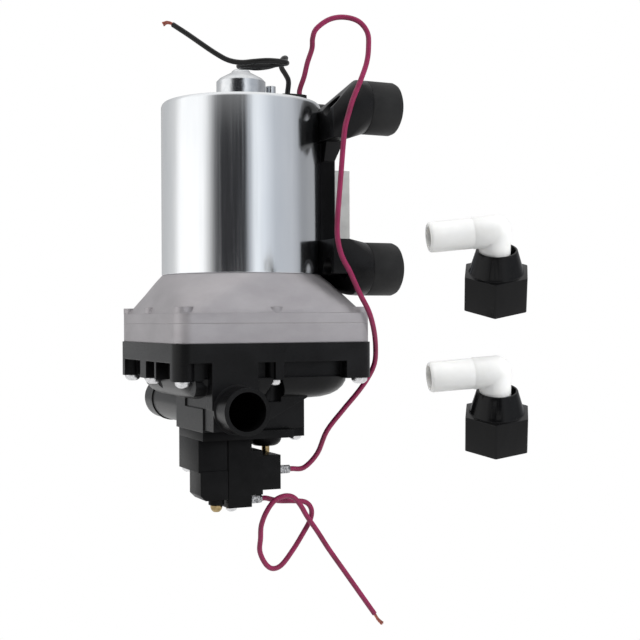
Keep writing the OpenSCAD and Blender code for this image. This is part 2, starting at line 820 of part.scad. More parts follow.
module diaphragm() color("black") in_row() difference() {
    union() {
        // Flat web, with a roll round each piston and a leaning pad in each roll
        translate([0, 0, -diaphragm_t])
            linear_extrude(diaphragm_t)
                difference() {
                    circle(cavity_r - 0.3);
                    at_pistons_flat()
                        circle(cell_r);
                }
        at_pistons()
            translate([0, 0, rock_z])
                rotate_extrude()
                    translate([cell_r, 0])
                        circle(cell_roll_r, $fn = 24);
        leaning()
            at_pistons()
                translate([0, 0, -diaphragm_t])
                    cylinder(r = cell_r - 0.2, h = diaphragm_t);
    }
    leaning()
        at_pistons()
            translate([0, 0, -3])
                cylinder(r = 1.75, h = 6, $fn = 32);
}

// Valves

module valve_plate() color("ivory") in_row() difference() {
    translate([0, 0, chamber_z])
        cylinder(r = cavity_r - 0.2, h = valve_plate_h - seat_gap);
    at_pistons()
        translate([0, 0, wet_floor])
            cylinder(r = cell_r + cell_roll_r + 0.3, h = 20);
    // Ports of the suction valves round each stem
    at_pistons() {
        translate([0, 0, chamber_z - eps])
            cylinder(r = 1.7, h = 5, $fn = 32);
        for (i = [0 : 4])
            rotate([0, 0, 72 * i])
                translate([4, 0, chamber_z - eps])
                    cylinder(r = 1.25, h = 5, $fn = 24);
    }
    // Ports of the delivery valve, three from each chamber
    for (i = [0 : 2], side = [-22, 0, 22])
        rotate([0, 0, 60 + 120 * i + side])
            translate([7.6, 0, chamber_z - eps])
                cylinder(r = 1.1, h = 5, $fn = 24);
    translate([0, 0, chamber_z - eps])
        cylinder(r = 1.9, h = valve_plate_h / 2, $fn = 32);
}

module umbrella(r, t, stem_r, stem) {
    rotate_extrude($fn = 48)
        polygon([
            [0, 0], [stem_r, 0], [stem_r, stem], [r, stem], [r, stem + t * 0.5],
            [stem_r, stem + t], [0, stem + t]
        ]);
}

module inlet_valves() color("dimgray") in_row() at_pistons()
    translate([0, 0, wet_floor - 3])
        umbrella(6, 1, 1.6, 3.05);

module outlet_valve() color("dimgray") in_row()
    translate([0, 0, chamber_z + 3])
        mirror([0, 0, 1])
            umbrella(outlet_r - 1.4, 1.1, 1.8, 3.05);

module plate_seal() color("dimgray") in_row()
    translate([0, 0, chamber_z - 0.9])
        rotate_extrude()
            translate([outlet_r + 1.9, 0])
                circle(0.85, $fn = 24);

// Pump head

module head_shell() {
    // Band round the top, and the skirt below it with its windows
    difference() {
        translate([0, 0, -skirt_h])
            linear_extrude(skirt_h)
                rounded_rect(head_x, head_y, casting_corner);
        for (w = front_windows, side = [-1, 1])
            on_side(side)
                block([head_x / 2 - window_depth, w[0], -skirt_h - eps], [head_x, w[1], -band_h]);
        for (w = side_windows, side = [-1, 1])
            block([w[0], side > 0 ? head_y / 2 - window_depth : -head_y, -skirt_h - eps],
                [w[1], side > 0 ? head_y : -head_y / 2 + window_depth, -band_h]);
    }
    // Round bosses for the screws
    for (p = screw_spots)
        translate([p[0], p[1], -skirt_h])
            cylinder(r = 4.6, h = skirt_h, $fn = 32);
    // Bulging underside
    skin([
        for (i = [0 : 6])
            let (
                a = 90 - 15 * i,
                inset = 2.4 + 11 * (1 - cos(a)),
                half_x = head_x / 2 - inset,
                half_y = head_y / 2 - inset - bulge_side_inset
            )
                ring(56, -skirt_h + 1 - (bulge_h + 1) * sin(a), half_x, half_y, 17)
    ]);
}

module on_side(side) {
    if (side > 0)
        children();
    else
        mirror([1, 0, 0])
            children();
}

module head_lower() {
    port_r = port_d / 2;
    // Both ports on one line, with a raised ring at each mouth
    translate([-port_x, port_y, port_z])
        rotate([0, 90, 0])
            cylinder(r = port_r, h = port_span);
    for (side = [-1, 1])
        translate([side > 0 ? port_x - 14 : -port_x + 12, port_y, port_z])
            rotate([0, 90, 0])
                cylinder(r = port_r + 0.5, h = 2);
    // Front block and the panel that runs up to the band
    block([9, port_y - port_r - 0.3, foot_z + 1.2], [head_x / 2 - 0.4, port_y + port_r + 0.2, -skirt_h]);
    block([head_x / 2 - 8, -31.7, port_z], [head_x / 2, -10.3, -band_h]);
    // Collar and rear block
    block([-4, -switch_left, foot_z], [9, port_y + port_r, -skirt_h - 6]);
    block([-30, port_y - 7, port_z], [-4, port_y + 7, -skirt_h]);
    // Foot for the switch, and the block on the right
    block([0, -switch_left, foot_z], [34, -10, port_z]);
    block([5, -12, foot_z], [block_right_x, block_right_y, -skirt_h - bulge_h + 2]);
    // Sloping duct from the front port up to the bulge
    translate([14, 0, 0])
        rotate([90, 0, 90])
            linear_extrude(24)
                polygon([
                    [port_y, -skirt_h], [18, -skirt_h - 4], [17, -skirt_h - bulge_h + 0.5],
                    [-2, port_z - 6], [port_y, port_z - port_r]
                ]);
    // Rounded ridges under the front edge, either side of the panel
    for (y = [-37, 5.5])
        translate([screw_x - 4, y, -skirt_h - 2.5])
            rotate([-90, 0, 0])
                cylinder(r = 4.5, h = 11, $fn = 32);
}

module pump_head() color("black") in_row() difference() {
    union() {
        head_shell();
        head_lower();
    }
    // Bed of the valve plate, the suction chamber round it and the delivery chamber inside
    translate([0, 0, chamber_z])
        cylinder(r = cavity_r, h = 20);
    translate([0, 0, chamber_z - chamber_h])
        tube(cavity_r - 2, outlet_r + 3.6, chamber_h + eps);
    translate([0, 0, chamber_z - chamber_h])
        cylinder(r = outlet_r, h = chamber_h + eps);
    translate([0, 0, chamber_z - 1.75])
        tube(outlet_r + 2.8, outlet_r + 1, 2);
    // Port bores, and the ways up to the chambers and across to the check valve
    for (side = [-1, 1])
        translate([side > 0 ? 12 : -port_x - eps, port_y, port_z])
            rotate([0, 90, 0])
                cylinder(d = port_bore, h = port_x - 12 + eps);
    translate([-22, port_y, port_z])
        cylinder(r = 4.5, h = -port_z + chamber_z - 1);
    translate([check_x + 2, check_y, port_z])
        rotate([90, 0, 0])
            cylinder(r = 3.6, h = check_y - port_y, $fn = 48);
    translate([check_x, check_y, foot_z - eps])
        cylinder(r = check_r, h = 17);
    translate([check_x, check_y, foot_z + 16])
        cylinder(r = 3, h = 5);
    translate([3, 2, chamber_z - chamber_h - 3.5])
        rotate([0, 90, 20])
            cylinder(r = 2.6, h = 13, $fn = 32);
    translate([4, 2.4, chamber_z - chamber_h - 5])
        cylinder(r = 2.6, h = 6, $fn = 32);
    // Pressure tapping of the switch, and screw holes
    translate([sense_x, sense_y, foot_z - eps])
        cylinder(r = 1.5, h = 6, $fn = 32);
    for (p = screw_spots) {
        translate([p[0], p[1], -skirt_h - eps])
            cylinder(d = screw_d + 0.4, h = skirt_h + 2 * eps, $fn = 32);
        translate([p[0], p[1], -skirt_h - bulge_h - 1])
            cylinder(r = screw_head_d / 2 + 0.8, h = bulge_h + 1, $fn = 32);
    }
    for (p = flange_screws)
        translate([p[0], p[1], foot_z - eps])
            cylinder(d = 3.1, h = 9, $fn = 32);
}

// A pan head and its shank, pointing up from z = 0 where the head's flat side lies
module pan_screw(shank_r, length, head_r, head_h) {
    cylinder(r = shank_r, h = length, $fn = 32);
    rotate_extrude($fn = 48)
        polygon([
            [0, 0], [head_r, 0], [head_r, -head_h * 0.45], [head_r * 0.85, -head_h * 0.8],
            [head_r * 0.55, -head_h], [0, -head_h]
        ]);
}

module head_screws() color("lightgray") in_row()
    for (p = screw_spots)
        translate([p[0], p[1], -skirt_h])
            pan_screw(screw_d / 2, skirt_h + housing_h + flange_h, screw_head_d / 2, 2.8);

module check_poppet() color("ivory") in_row()
    translate([check_x, check_y, foot_z + 16 - 0.05])
        mirror([0, 0, 1])
            rotate_extrude()
                polygon([
                    [0, -1.5], [2, -1.5], [2.6, 0], [check_r - 1.4, 0], [check_r - 1.4, 1.6],
                    [2, 2.4], [2, 9], [0, 9]
                ]);

module check_spring() color("silver") in_row()
    translate([check_x, check_y, flange_low - 3.4])
        coil_spring(3.4, 0.8, foot_z + 13.8 - flange_low + 3.4, 7);

// Pressure switch

flange_screws = [[3.8, -28.4], [block_right_x - 4.5, block_right_y - 2.7]];

module switch_diaphragm() color("dimgray") in_row()
    translate([sense_x, sense_y, foot_z - 1])
        cylinder(r = 7.6, h = 0.95);

module switch_flange() color("black") in_row() difference() {
    union() {
        block([0, -switch_left, flange_low], [34, 12, foot_z - seat_gap]);
        block([block_right_x - 12, 10, flange_low], [block_right_x, block_right_y, foot_z - seat_gap]);
        // Cup of the check valve, with a rounded bottom
        translate([check_x, check_y, flange_low - 5.2])
            rotate_extrude()
                polygon(concat(
                    [[0, 0]],
                    [for (a = [0 : 18 : 90]) [boss_r - 4 + 4 * sin(a), 4 - 4 * cos(a)]],
                    [[boss_r, 6], [0, 6]]
                ));
    }
    translate([sense_x, sense_y, foot_z - 1.05])
        cylinder(r = 7.65, h = 3);
    translate([sense_x, sense_y, flange_low - eps])
        cylinder(r = 5.6, h = 8);
    translate([check_x, check_y, flange_low - 3.4])
        cylinder(r = 4.3, h = 12);
    for (p = flange_screws)
        translate([p[0], p[1], flange_low - eps])
            cylinder(d = 3.3, h = 8, $fn = 32);
}

module switch_plunger() color("ivory") in_row()
    translate([sense_x, sense_y, 0]) {
        translate([0, 0, plunger_z - 1.2])
            cylinder(r = 5.3, h = 1.2);
        translate([0, 0, stem_low])
            cylinder(r = guide_r, h = plunger_z - stem_low - 1);
        // Arm that reaches across to the contacts
        block([-1.4, 0, arm_z], [1.4, button_y - sense_y + 1.6, arm_z + 2]);
    }

module switch_spring() color("silver") in_row()
    translate([sense_x, sense_y, adjuster_top + 0.05])
        coil_spring(1.9, 0.6, stem_low - adjuster_top - 0.1, 6);

module adjusting_screw() color("gold") in_row()
    translate([sense_x, sense_y, adjuster_low]) {
        translate([0, 0, -0.5])
            cylinder(r = 1.95, h = adjuster_top - adjuster_low + 0.5, $fn = 32);
        difference() {
            rotate_extrude($fn = 48)
                polygon([
                    [0, 0], [adjuster_head_d / 2, 0], [adjuster_head_d / 2, -1.6],
                    [adjuster_head_d / 2 - 0.8, -2.8], [0, -3.1]
                ]);
            block([-0.5, -4, -4], [0.5, 4, -1.9]);
        }
    }

module switch_body() color("black") in_row() difference() {
    joint_y = -switch_joint - 0.15;
    union() {
        block([0, -switch_left, -58], [switch_front, joint_y, flange_low - seat_gap]);
        block([switch_front - 15, -switch_left + 0.8, -switch_body_drop], [switch_front + 0.5, joint_y, -57.5]);
        translate([sense_x, sense_y, adjuster_low + 0.3])
            cylinder(r = 3.6, h = 4);
    }
    translate([sense_x, sense_y, adjuster_top - 0.6])
        cylinder(r = guide_r + run_gap, h = 40);
    translate([sense_x, sense_y, adjuster_low])
        cylinder(r = 1.95 + run_gap, h = 20, $fn = 32);
    // Slot for the plunger's arm
    block([sense_x - 1.7, sense_y, arm_z - plunger_travel - 0.4], [sense_x + 1.7, -10, flange_low + 1]);
    translate([flange_screws[0][0], flange_screws[0][1], -60])
        cylinder(d = 3.3, h = 20, $fn = 32);
    // Lower left edge is rounded off
    translate([0, -switch_left + 0.8, -switch_body_drop])
        rotate([45, 0, 0])
            cube([80, 3.4, 3.4], center = true);
}

module switch_cover() color("black") in_row() difference() {
    joint_y = -switch_joint + 0.15;
    union() {
        block([12, joint_y, -switch_cover_drop], [switch_front + 0.3, -6.4, flange_low - seat_gap]);
        block([12, -7, -69.4], [switch_front + 0.3, -1, -49.2]);
        block([12, -2, -67.4], [switch_front + 0.3, 7.8, -51.7]);
    }
    // Room for the contacts, open towards the body, with a slot for the plunger's arm
    block([15.4, joint_y - 1, -66.2], [switch_front - 1.6, 5.6, -53.2]);
    block([15.4, joint_y - 1, -54], [switch_front - 1.6, -6.6, arm_z + 3]);
    block([18, -12, -73.4], [22, -8, -60]);
    // Ways out for the two terminals
    for (i = [0, 1])
        block([terminal_x - 2.6, -9, terminal_z[i] - 0.6], [terminal_x + 2.6, 12, terminal_z[i] + 0.6]);
    translate([stud_x, stud_y, -54])
        cylinder(d = stud_d + 2 * seat_gap, h = 4, $fn = 32);
    translate([cover_screw[0], cover_screw[1], -switch_cover_drop - 1])
        cylinder(r = 1.6, h = 8, $fn = 32);
}

cover_screw = [24.5, -15];

module switch_screws() color("lightgray") in_row() {
    translate([flange_screws[0][0], flange_screws[0][1], -58])
        pan_screw(1.5, 26, 3, 2);
    translate([flange_screws[1][0], flange_screws[1][1], flange_low])
        pan_screw(1.5, 12, 3, 2);
    translate([cover_screw[0], cover_screw[1], -switch_cover_drop])
        pan_screw(1.5, 6.5, 2.6, 1.8);
}

module micro_switch() color("firebrick") in_row() difference() {
    block([15.6, -switch_joint + 3.5, -66], [switch_front - 1.8, 5.4, -55]);
    translate([sense_x, button_y, -59])
        cylinder(r = 1.3 + run_gap, h = 8, $fn = 32);
    block([terminal_x - 2.3, -30, terminal_z[0] - 0.45], [terminal_x + 2.3, 20, terminal_z[0] + 0.45]);
}

module switch_button() color("gainsboro") in_row()
    translate([sense_x, button_y, -57])
        cylinder(r = 1.3, h = button_top + 57, $fn = 32);

module terminals() color("gold") in_row() {
    block([terminal_x - 2.2, -4, terminal_z[0] - 0.4], [terminal_x + 2.2, 14, terminal_z[0] + 0.4]);
    block([terminal_x - 1.8, -10.4, terminal_z[1] - 0.4], [terminal_x + 1.8, -0.6, terminal_z[1] + 0.4]);
    block([terminal_x - 1.8, -11.2, terminal_z[1] - 0.4], [terminal_x + 1.8, -10.4, -66.05]);
}

// A push-on terminal, from its mouth at y = 0 back to the wire
module crimp(length) difference() {
    union() {
        block([-3, 0, -1.6], [3, 6, 1.6]);
        translate([0, 5, 0])
            rotate([-90, 0, 0])
                cylinder(r = 1.9, h = length - 5, $fn = 32);
    }
    block([-2.3, -1, -0.45], [2.3, 6.2, 0.45]);
}

module crimp_sleeves() color("lightgray") in_row() {
    translate([terminal_x, 8, terminal_z[0]])
        crimp(7.5);
    translate([terminal_x, -6.2, terminal_z[1]])
        crimp(7.5);
}

module switch_stud() color("gold") in_row()
    translate([stud_x, stud_y, -53.6])
        cylinder(d = stud_d, h = 53.6 + flange_low - 5.25, $fn = 32);

// Mounting

module mount_saddle() color("black") in_row() difference() {
    union() {
        // Band that cups the motor
        translate([0, 0, low_feet_z - foot_d / 2 + 0.5])
            intersection() {
                cylinder(r = band_r, h = band_top - low_feet_z + foot_d / 2 - 0.5);
                linear_extrude(200)
                    polygon([
                        [0, 0], [3 * can_r * sin(band_half_angle), 3 * can_r * cos(band_half_angle)],
                        [-3 * can_r * sin(band_half_angle), 3 * can_r * cos(band_half_angle)]
                    ]);
            }
        // Four arms that spread out to the feet
        for (p = foot_spots)
            let (root = p[1] > feet_mid_z ? high_arm_root : low_arm_root)
                hull() {
                    translate([p[0], foot_face - arm_t, p[1]])
                        rotate([-90, 0, 0])
                            cylinder(d = foot_d, h = arm_t, $fn = 32);
                    translate([p[0] * 0.9, can_r * 0.9, root[0]])
                        cube([22, 8, root[1]], center = true);
                }
        for (side = [-1, 1])
            on_side(side)
                hull() {
                    translate([18, can_r - 5, high_arm_root[0] - high_arm_root[1] / 2 - brace_drop])
                        cube([5, 5.4, 1]);
                    translate([18, can_r - 5, high_arm_root[0]])
                        cube([10, 11, 1]);
                }
    }
    translate([0, 0, -eps])
        cylinder(r = band_in_r, h = 200);
    // Room over the flare of the casting
    rotate([90, 0, 90])
        linear_extrude(200, center = true)
            polygon([
                [0, 0], [casting_y / 2 + 0.5, 0], [casting_y / 2 + 0.5, flange_z + 1],
                [can_r + 6.2, flange_z + flare_h * 0.28], [can_r + 2.4, flange_z + flare_h * 0.62],
                [can_r + free_gap, band_low], [0, band_low]
            ]);
    // Sleeve holes, and the way in for the screws in front of them
    for (p = foot_spots) {
        translate([p[0], foot_face - arm_t - eps, p[1]])
            rotate([-90, 0, 0])
                cylinder(d = sleeve_d + 0.1, h = 30);
        translate([p[0], 20, p[1]])
            rotate([-90, 0, 0])
                cylinder(r = arm_tunnel_r, h = foot_face - arm_t - 20 + eps);
    }
    // Slot of the upright web
    block([-web_thickness / 2 - seat_gap, band_r - 2, web_z - seat_gap],
        [web_thickness / 2 + seat_gap, 80, web_z + web_h + seat_gap]);
    for (z = saddle_screw_z)
        translate([0, 0, z])
            rotate([-90, 0, 0])
                cylinder(d = 4.1, h = 80, $fn = 32);
}

saddle_screw_z = [feet_mid_z - 30, feet_mid_z + 28];

module saddle_screws() color("silver") in_row()
    for (z = saddle_screw_z)
        translate([0, band_r, z])
            rotate([90, 0, 0])
                pan_screw(2, band_wall, 4, 2.4);

module base_web() color("lightgray") in_row()
    block([-web_thickness / 2, band_r - 1.9, web_z], [web_thickness / 2, web_y, web_z + web_h]);

module rubber_feet() color("dimgray") in_row()
    for (p = foot_spots)
        translate([p[0], foot_face + seat_gap, p[1]])
            rotate([-90, 0, 0])
                rotate_extrude($fn = 72)
                    polygon([
                        [sleeve_d / 2 + 0.05, 0], [foot_d / 2 - 0.3, 0], [foot_d / 2, 0.6],
                        [foot_d / 2, foot_length - 2.2], [foot_d / 2 - 0.6, foot_length - 0.8],
                        [foot_d / 2 - 1.8, foot_length - seat_gap],
                        [sleeve_d / 2 + 0.05, foot_length - seat_gap]
                    ]);

module foot_sleeves() color("silver") in_row()
    for (p = foot_spots)
        translate([p[0], foot_face - arm_t, p[1]])
            rotate([-90, 0, 0])
                tube(sleeve_d / 2, foot_hole_d / 2, foot_length + arm_t);

// Wires

module black_lead() color("black") in_row() swept(black_route, wire_r, 8);

module red_lead() color("mediumvioletred") in_row() swept(red_route, wire_r, 8);

module red_tail() color("mediumvioletred") in_row() swept(tail_route, wire_r, 8);

module bare_ends() color("orange") in_row() {
    swept(black_bare, 0.7, 6);
    swept(tail_bare, 0.7, 6);
}

// Elbow fittings

module in_fitting(k) {
    translate([elbow_spot[0], elbow_spot[1], elbow_heights[k]])
        rotate([0, 0, elbow_turn])
            rotate([elbow_lean[k], 0, 0])
                children();
}

// Along the hose tail, from the corner of the elbow
module along_tail() {
    rotate([0, 0, barb_turn])
        translate([-leg_shift, 0, tail_h])
            rotate([0, -90, 0])
                children();
}

module beside_nut_axis() {
    rotate([0, 0, barb_turn])
        translate([-leg_shift, 0, 0])
            children();
}

module elbow() difference() {
    union() {
        translate([0, 0, collar_low])
            cylinder(r = nut_seat_r - 0.15, h = collar_h);
        beside_nut_axis() {
            translate([0, 0, collar_low])
                cylinder(r = leg_r, h = tail_h - collar_low);
            translate([0, 0, tail_h])
                sphere(r = leg_r);
        }
        // The root of the tail, and the tail itself with its rounded end
        along_tail()
            rotate_extrude()
                polygon([
                    [0, 0], [leg_r, 0], [leg_r, root_length - root_taper], [barb_d / 2, root_length],
                    [barb_d / 2, barb_length - 1.2], [barb_d / 2 - 0.2, barb_length - 0.5],
                    [barb_d / 2 - 0.6, barb_length - 0.1], [barb_d / 2 - 1, barb_length], [0, barb_length]
                ]);
    }
    beside_nut_axis()
        translate([0, 0, collar_low - 1])
            cylinder(d = elbow_bore, h = tail_h - collar_low + 1);
    along_tail()
        cylinder(d = elbow_bore, h = barb_length + 1);
}

// A hexagon with its corners rounded
module soft_hexagon(flats, r) {
    corner = (flats / 2 - r) / cos(30);
    for (i = [0 : 2])
        rotate(30 + 60 * i)
            square([flats, corner], center = true);
    for (i = [0 : 5])
        rotate(60 * i)
            translate([corner, 0])
                circle(r, $fn = 48);
}

module swivel_nut() difference() {
    union() {
        translate([0, 0, -nut_hex_h / 2])
            rotate([0, 0, nut_turn])
                linear_extrude(nut_hex_h)
                    soft_hexagon(nut_flats, 0.9);
        translate([0, 0, nut_hex_h / 2 - eps])
            cylinder(d1 = nut_cone_d, d2 = nut_mouth_d, h = nut_cone_h);
    }
    translate([0, 0, -nut_hex_h / 2 - eps])
        cylinder(r = nut_thread_r, h = nut_hex_h / 2 + thread_top + eps);
    translate([0, 0, -nut_hex_h / 2])
        cylinder(r = nut_seat_r, h = nut_hex_h / 2 + nut_shoulder);
    translate([0, 0, nut_shoulder - 1])
        cylinder(r = leg_r + leg_shift + 0.15, h = nut_hex_h + nut_cone_h);
}

module elbow_upper() color("whitesmoke") in_row() in_fitting(0) elbow();

module elbow_lower() color("whitesmoke") in_row() in_fitting(1) elbow();

module nut_upper() color("black") in_row() in_fitting(0) swivel_nut();

module nut_lower() color("black") in_row() in_fitting(1) swivel_nut();

module nut_washers() color("dimgray") in_row()
    for (k = [0, 1])
        in_fitting(k)
            translate([0, 0, collar_low - washer_t - touch_gap])
                tube(nut_seat_r - 0.15, elbow_bore / 2 + leg_shift, washer_t);

motor_can();
end_plate();
bearing_cup();
wire_grommet();
magnets();
brush_card();
brush_front();
brush_back();
brush_spring_front();
brush_spring_back();
rear_bearing();
front_bearing();
armature_shaft();
armature_core();
armature_windings();
commutator();
motor_bolts();
motor_adaptor();
drive_housing();
cam_hub();
hub_bearing();
wobble_plate();
pistons();
piston_screws();
diaphragm();
valve_plate();
inlet_valves();
outlet_valve();
plate_seal();
pump_head();
head_screws();
check_poppet();
check_spring();
switch_diaphragm();
switch_flange();
switch_plunger();
switch_spring();
adjusting_screw();
switch_body();
switch_cover();
switch_screws();
micro_switch();
switch_button();
terminals();
crimp_sleeves();
switch_stud();
mount_saddle();
saddle_screws();
base_web();
rubber_feet();
foot_sleeves();
black_lead();
red_lead();
red_tail();
bare_ends();
elbow_upper();
elbow_lower();
nut_upper();
nut_lower();
nut_washers();
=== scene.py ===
# %% [markdown]
# # A caravan water pump
# The object is a twelve volt pump that hangs on a caravan's wall: a plated motor above, two grey
# castings in the middle, a black pump head with a pressure switch below, and rubber feet behind.
# The solids of every part are already there, in metres, with their joints. This lesson gives them
# their finishes, rounds and smooths what needs it, and adds the wires, the screws and the light.

# %% Load the solids
import json
import math

import bmesh
import bpy
from mathutils import Matrix, Vector


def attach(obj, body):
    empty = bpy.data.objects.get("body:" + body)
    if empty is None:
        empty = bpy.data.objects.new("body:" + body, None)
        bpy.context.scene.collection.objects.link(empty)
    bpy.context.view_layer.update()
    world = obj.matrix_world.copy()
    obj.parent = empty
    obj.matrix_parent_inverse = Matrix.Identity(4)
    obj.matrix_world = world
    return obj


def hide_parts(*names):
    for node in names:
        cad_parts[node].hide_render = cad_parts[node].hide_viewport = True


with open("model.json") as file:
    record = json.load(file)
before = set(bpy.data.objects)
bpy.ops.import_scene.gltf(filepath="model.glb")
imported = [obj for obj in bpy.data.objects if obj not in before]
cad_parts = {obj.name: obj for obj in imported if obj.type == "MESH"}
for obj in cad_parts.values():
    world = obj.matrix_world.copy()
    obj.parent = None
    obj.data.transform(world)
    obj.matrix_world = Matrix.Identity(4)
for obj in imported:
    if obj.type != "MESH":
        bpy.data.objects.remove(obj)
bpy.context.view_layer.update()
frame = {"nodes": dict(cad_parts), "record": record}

bodies = frame["record"]["behaviour"]["bodies"]
body_of_node = {node: body for body, members in bodies.items() for node in members}
slot_of_node = {row["node"]: row["material_slot"] for row in frame["record"]["subparts"]}

# %% [markdown]
# ## Places
# The part's source measures from the motor's axis, at the joint of castings and head. The shared
# frame has its origin on the wall between the feet. One helper turns the first into the second.

# %% From the drawing's millimetres to the frame's metres
WALL_TO_AXIS = 65.0
FEET_HEIGHT = 72.0


def at(x, y, z):
    return Vector((x, y - WALL_TO_AXIS, z - FEET_HEIGHT)) * 0.001


print("the motor's axis meets the joint at", [round(v, 4) for v in at(0, 0, 0)])

# %% [markdown]
# ## Three helpers
# Whatever is made here is linked to the scene in one call. Materials, recipes and the world are
# all trees of nodes, so one helper adds a node with its settings and feeds its inputs.

# %% Objects and nodes in one call each


def in_scene(name, data):
    thing = bpy.data.objects.new(name, data)
    bpy.context.scene.collection.objects.link(thing)
    return thing


def feed(tree, socket, value):
    """Link another node's socket, or set a plain value."""
    if isinstance(value, bpy.types.NodeSocket):
        tree.links.new(value, socket)
    else:
        socket.default_value = value


def add_node(tree, kind, inputs=None, **settings):
    """A new node; each input takes a value, a socket or a list of sockets."""
    node = tree.nodes.new(kind)
    for key, value in settings.items():
        setattr(node, key, value)
    for key, value in (inputs or {}).items():
        for each in value if isinstance(value, list) else [value]:
            feed(tree, node.inputs[key], each)
    return node


print("helpers ready")

# %% [markdown]
# ## Camera
# The photograph was taken from the side of one port, level with the castings, with a long lens.
# The camera's place and turn come from lines fitted to the edges of the can and the castings.

# %% Set the camera
sight = Vector((-0.909, 0.4164, 0.0)).normalized()
right = Vector((0.4164, 0.909, 0.0)).normalized()
up = Vector((0, 0, 1))
tilt = math.radians(-0.27)
camera_right = right * math.cos(tilt) + up * math.sin(tilt)
camera_up = up * math.cos(tilt) - right * math.sin(tilt)
camera_turn = Matrix((camera_right, camera_up, -sight)).transposed()
camera_place = at(537.2, -205.1, 10.1)
camera = in_scene("camera", bpy.data.cameras.new("camera"))
camera.matrix_world = Matrix.Translation(camera_place) @ camera_turn.to_4x4()
camera.data.sensor_width = 36.0
camera.data.lens = 67.5
camera.data.clip_start = 0.01
camera.data.clip_end = 20.0
bpy.context.scene.camera = camera
print("camera at", [round(v, 4) for v in camera.location])

# %% [markdown]
# ## A short way to write materials
# A finish is a small network of nodes. This class keeps the network's place and lets each node be
# added in one line. Every pattern reads Object coordinates, so it stays fixed to the piece.

# %% The finish helper


class Finish:
    def __init__(self, name, **values):
        self.material = bpy.data.materials.new(name)
        self.material.use_nodes = True
        self.tree = self.material.node_tree
        self.shader = self.tree.nodes["Principled BSDF"]
        self.place = self.add("ShaderNodeTexCoord").outputs["Object"]
        for key, value in values.items():
            self.shader.inputs[key.replace("_", " ")].default_value = value

    def add(self, kind, inputs=None, **settings):
        return add_node(self.tree, kind, inputs, **settings)

    def grain(self, scale, stretch=(1, 1, 1), detail=3.0, rough=0.55):
        """Soft noise from 0 to 1; stretch makes it longer along an axis."""
        scaled = self.add(
            "ShaderNodeMapping",
            {"Vector": self.place, "Scale": tuple(scale / share for share in stretch)},
        )
        noise = self.add(
            "ShaderNodeTexNoise",
            {
                "Vector": scaled.outputs["Vector"], "Scale": 1.0, "Detail": detail,
                "Roughness": rough,
            },
        )
        return noise.outputs["Fac"]

    def ramp(self, value, low, high, start=0.3, end=0.7):
        """A number between low and high, as value goes from start to end."""
        node = self.add(
            "ShaderNodeMapRange",
            {"Value": value, "From Min": start, "From Max": end, "To Min": low, "To Max": high},
        )
        return node.outputs["Result"]

    def shade(self, value, dark, light, start=0.3, end=0.7):
        """A colour between dark and light."""
        node = self.add("ShaderNodeValToRGB", {"Fac": value})
        for element, place, colour in zip(node.color_ramp.elements, (start, end), (dark, light)):
            element.position = place
            element.color = (*colour, 1)
        return node.outputs["Color"]

    def colour(self, value):
        feed(self.tree, self.shader.inputs["Base Color"], value)

    def roughness(self, value):
        feed(self.tree, self.shader.inputs["Roughness"], value)

    def relief(self, height, distance, strength=1.0, rounding=0.0):
        """Bump from a height, on edges that are rounded over by the given radius."""
        bump = self.add(
            "ShaderNodeBump", {"Height": height, "Distance": distance, "Strength": strength}
        )
        if rounding:
            soft = self.add("ShaderNodeBevel", {"Radius": rounding}, samples=4)
            feed(self.tree, bump.inputs["Normal"], soft.outputs["Normal"])
        feed(self.tree, self.shader.inputs["Normal"], bump.outputs["Normal"])


print("finishes are made with", ", ".join(name for name in vars(Finish) if name[0] != "_"))

# %% [markdown]
# ## Metal finishes
# The can is thin sheet, drawn lengthwise and zinc plated: a mirror with fine upright streaks. The
# castings are die cast alloy, pale and satin, with a fine sandy skin and faint cloudy flow marks.

# %% Plated sheet of the can and the bearing cup
zinc = Finish("zinc_sheet", Metallic=1.0)
streaks = zinc.grain(900, stretch=(1, 1, 60), detail=4)
clouds = zinc.grain(45, stretch=(1, 1, 4))
zinc.colour(zinc.shade(clouds, (0.7, 0.72, 0.74), (0.8, 0.81, 0.82)))
zinc.roughness(zinc.ramp(streaks, 0.11, 0.22))
zinc.relief(streaks, 0.00004, 0.25, rounding=0.0004)

bright_zinc = Finish("zinc_pressing", Metallic=1.0)
dents = bright_zinc.grain(260)
bright_zinc.colour(bright_zinc.shade(dents, (0.58, 0.6, 0.62), (0.7, 0.71, 0.72)))
bright_zinc.roughness(bright_zinc.ramp(bright_zinc.grain(1500), 0.1, 0.24))
bright_zinc.relief(dents, 0.00025, 0.4, rounding=0.0006)
print("the can's finish has", len(zinc.tree.nodes), "nodes")

# %% Castings, screws and small metal
cast = Finish("die_cast_skin", Metallic=0.75)
sand = cast.grain(2600, detail=5, rough=0.7)
flow = cast.grain(45, stretch=(1, 1, 0.5), detail=5)
cast.colour(cast.shade(flow, (0.35, 0.333, 0.344), (0.43, 0.41, 0.423), 0.3, 0.75))
cast.roughness(cast.ramp(sand, 0.38, 0.54))
cast.relief(sand, 0.0001, 0.6, rounding=0.0008)

steel = Finish("plated_screw", Metallic=1.0)
steel.colour(steel.shade(steel.grain(800), (0.55, 0.55, 0.56), (0.78, 0.78, 0.79)))
steel.roughness(steel.ramp(steel.grain(2500), 0.18, 0.36))
steel.relief(steel.grain(4000), 0.00003, 0.4, rounding=0.0002)

brass = Finish("plain_brass", Metallic=1.0)
brass.colour(brass.shade(brass.grain(700), (0.26, 0.19, 0.09), (0.46, 0.35, 0.18)))
brass.roughness(brass.ramp(brass.grain(3000), 0.12, 0.26))
brass.relief(brass.grain(5000), 0.00003, 0.4, rounding=0.0002)

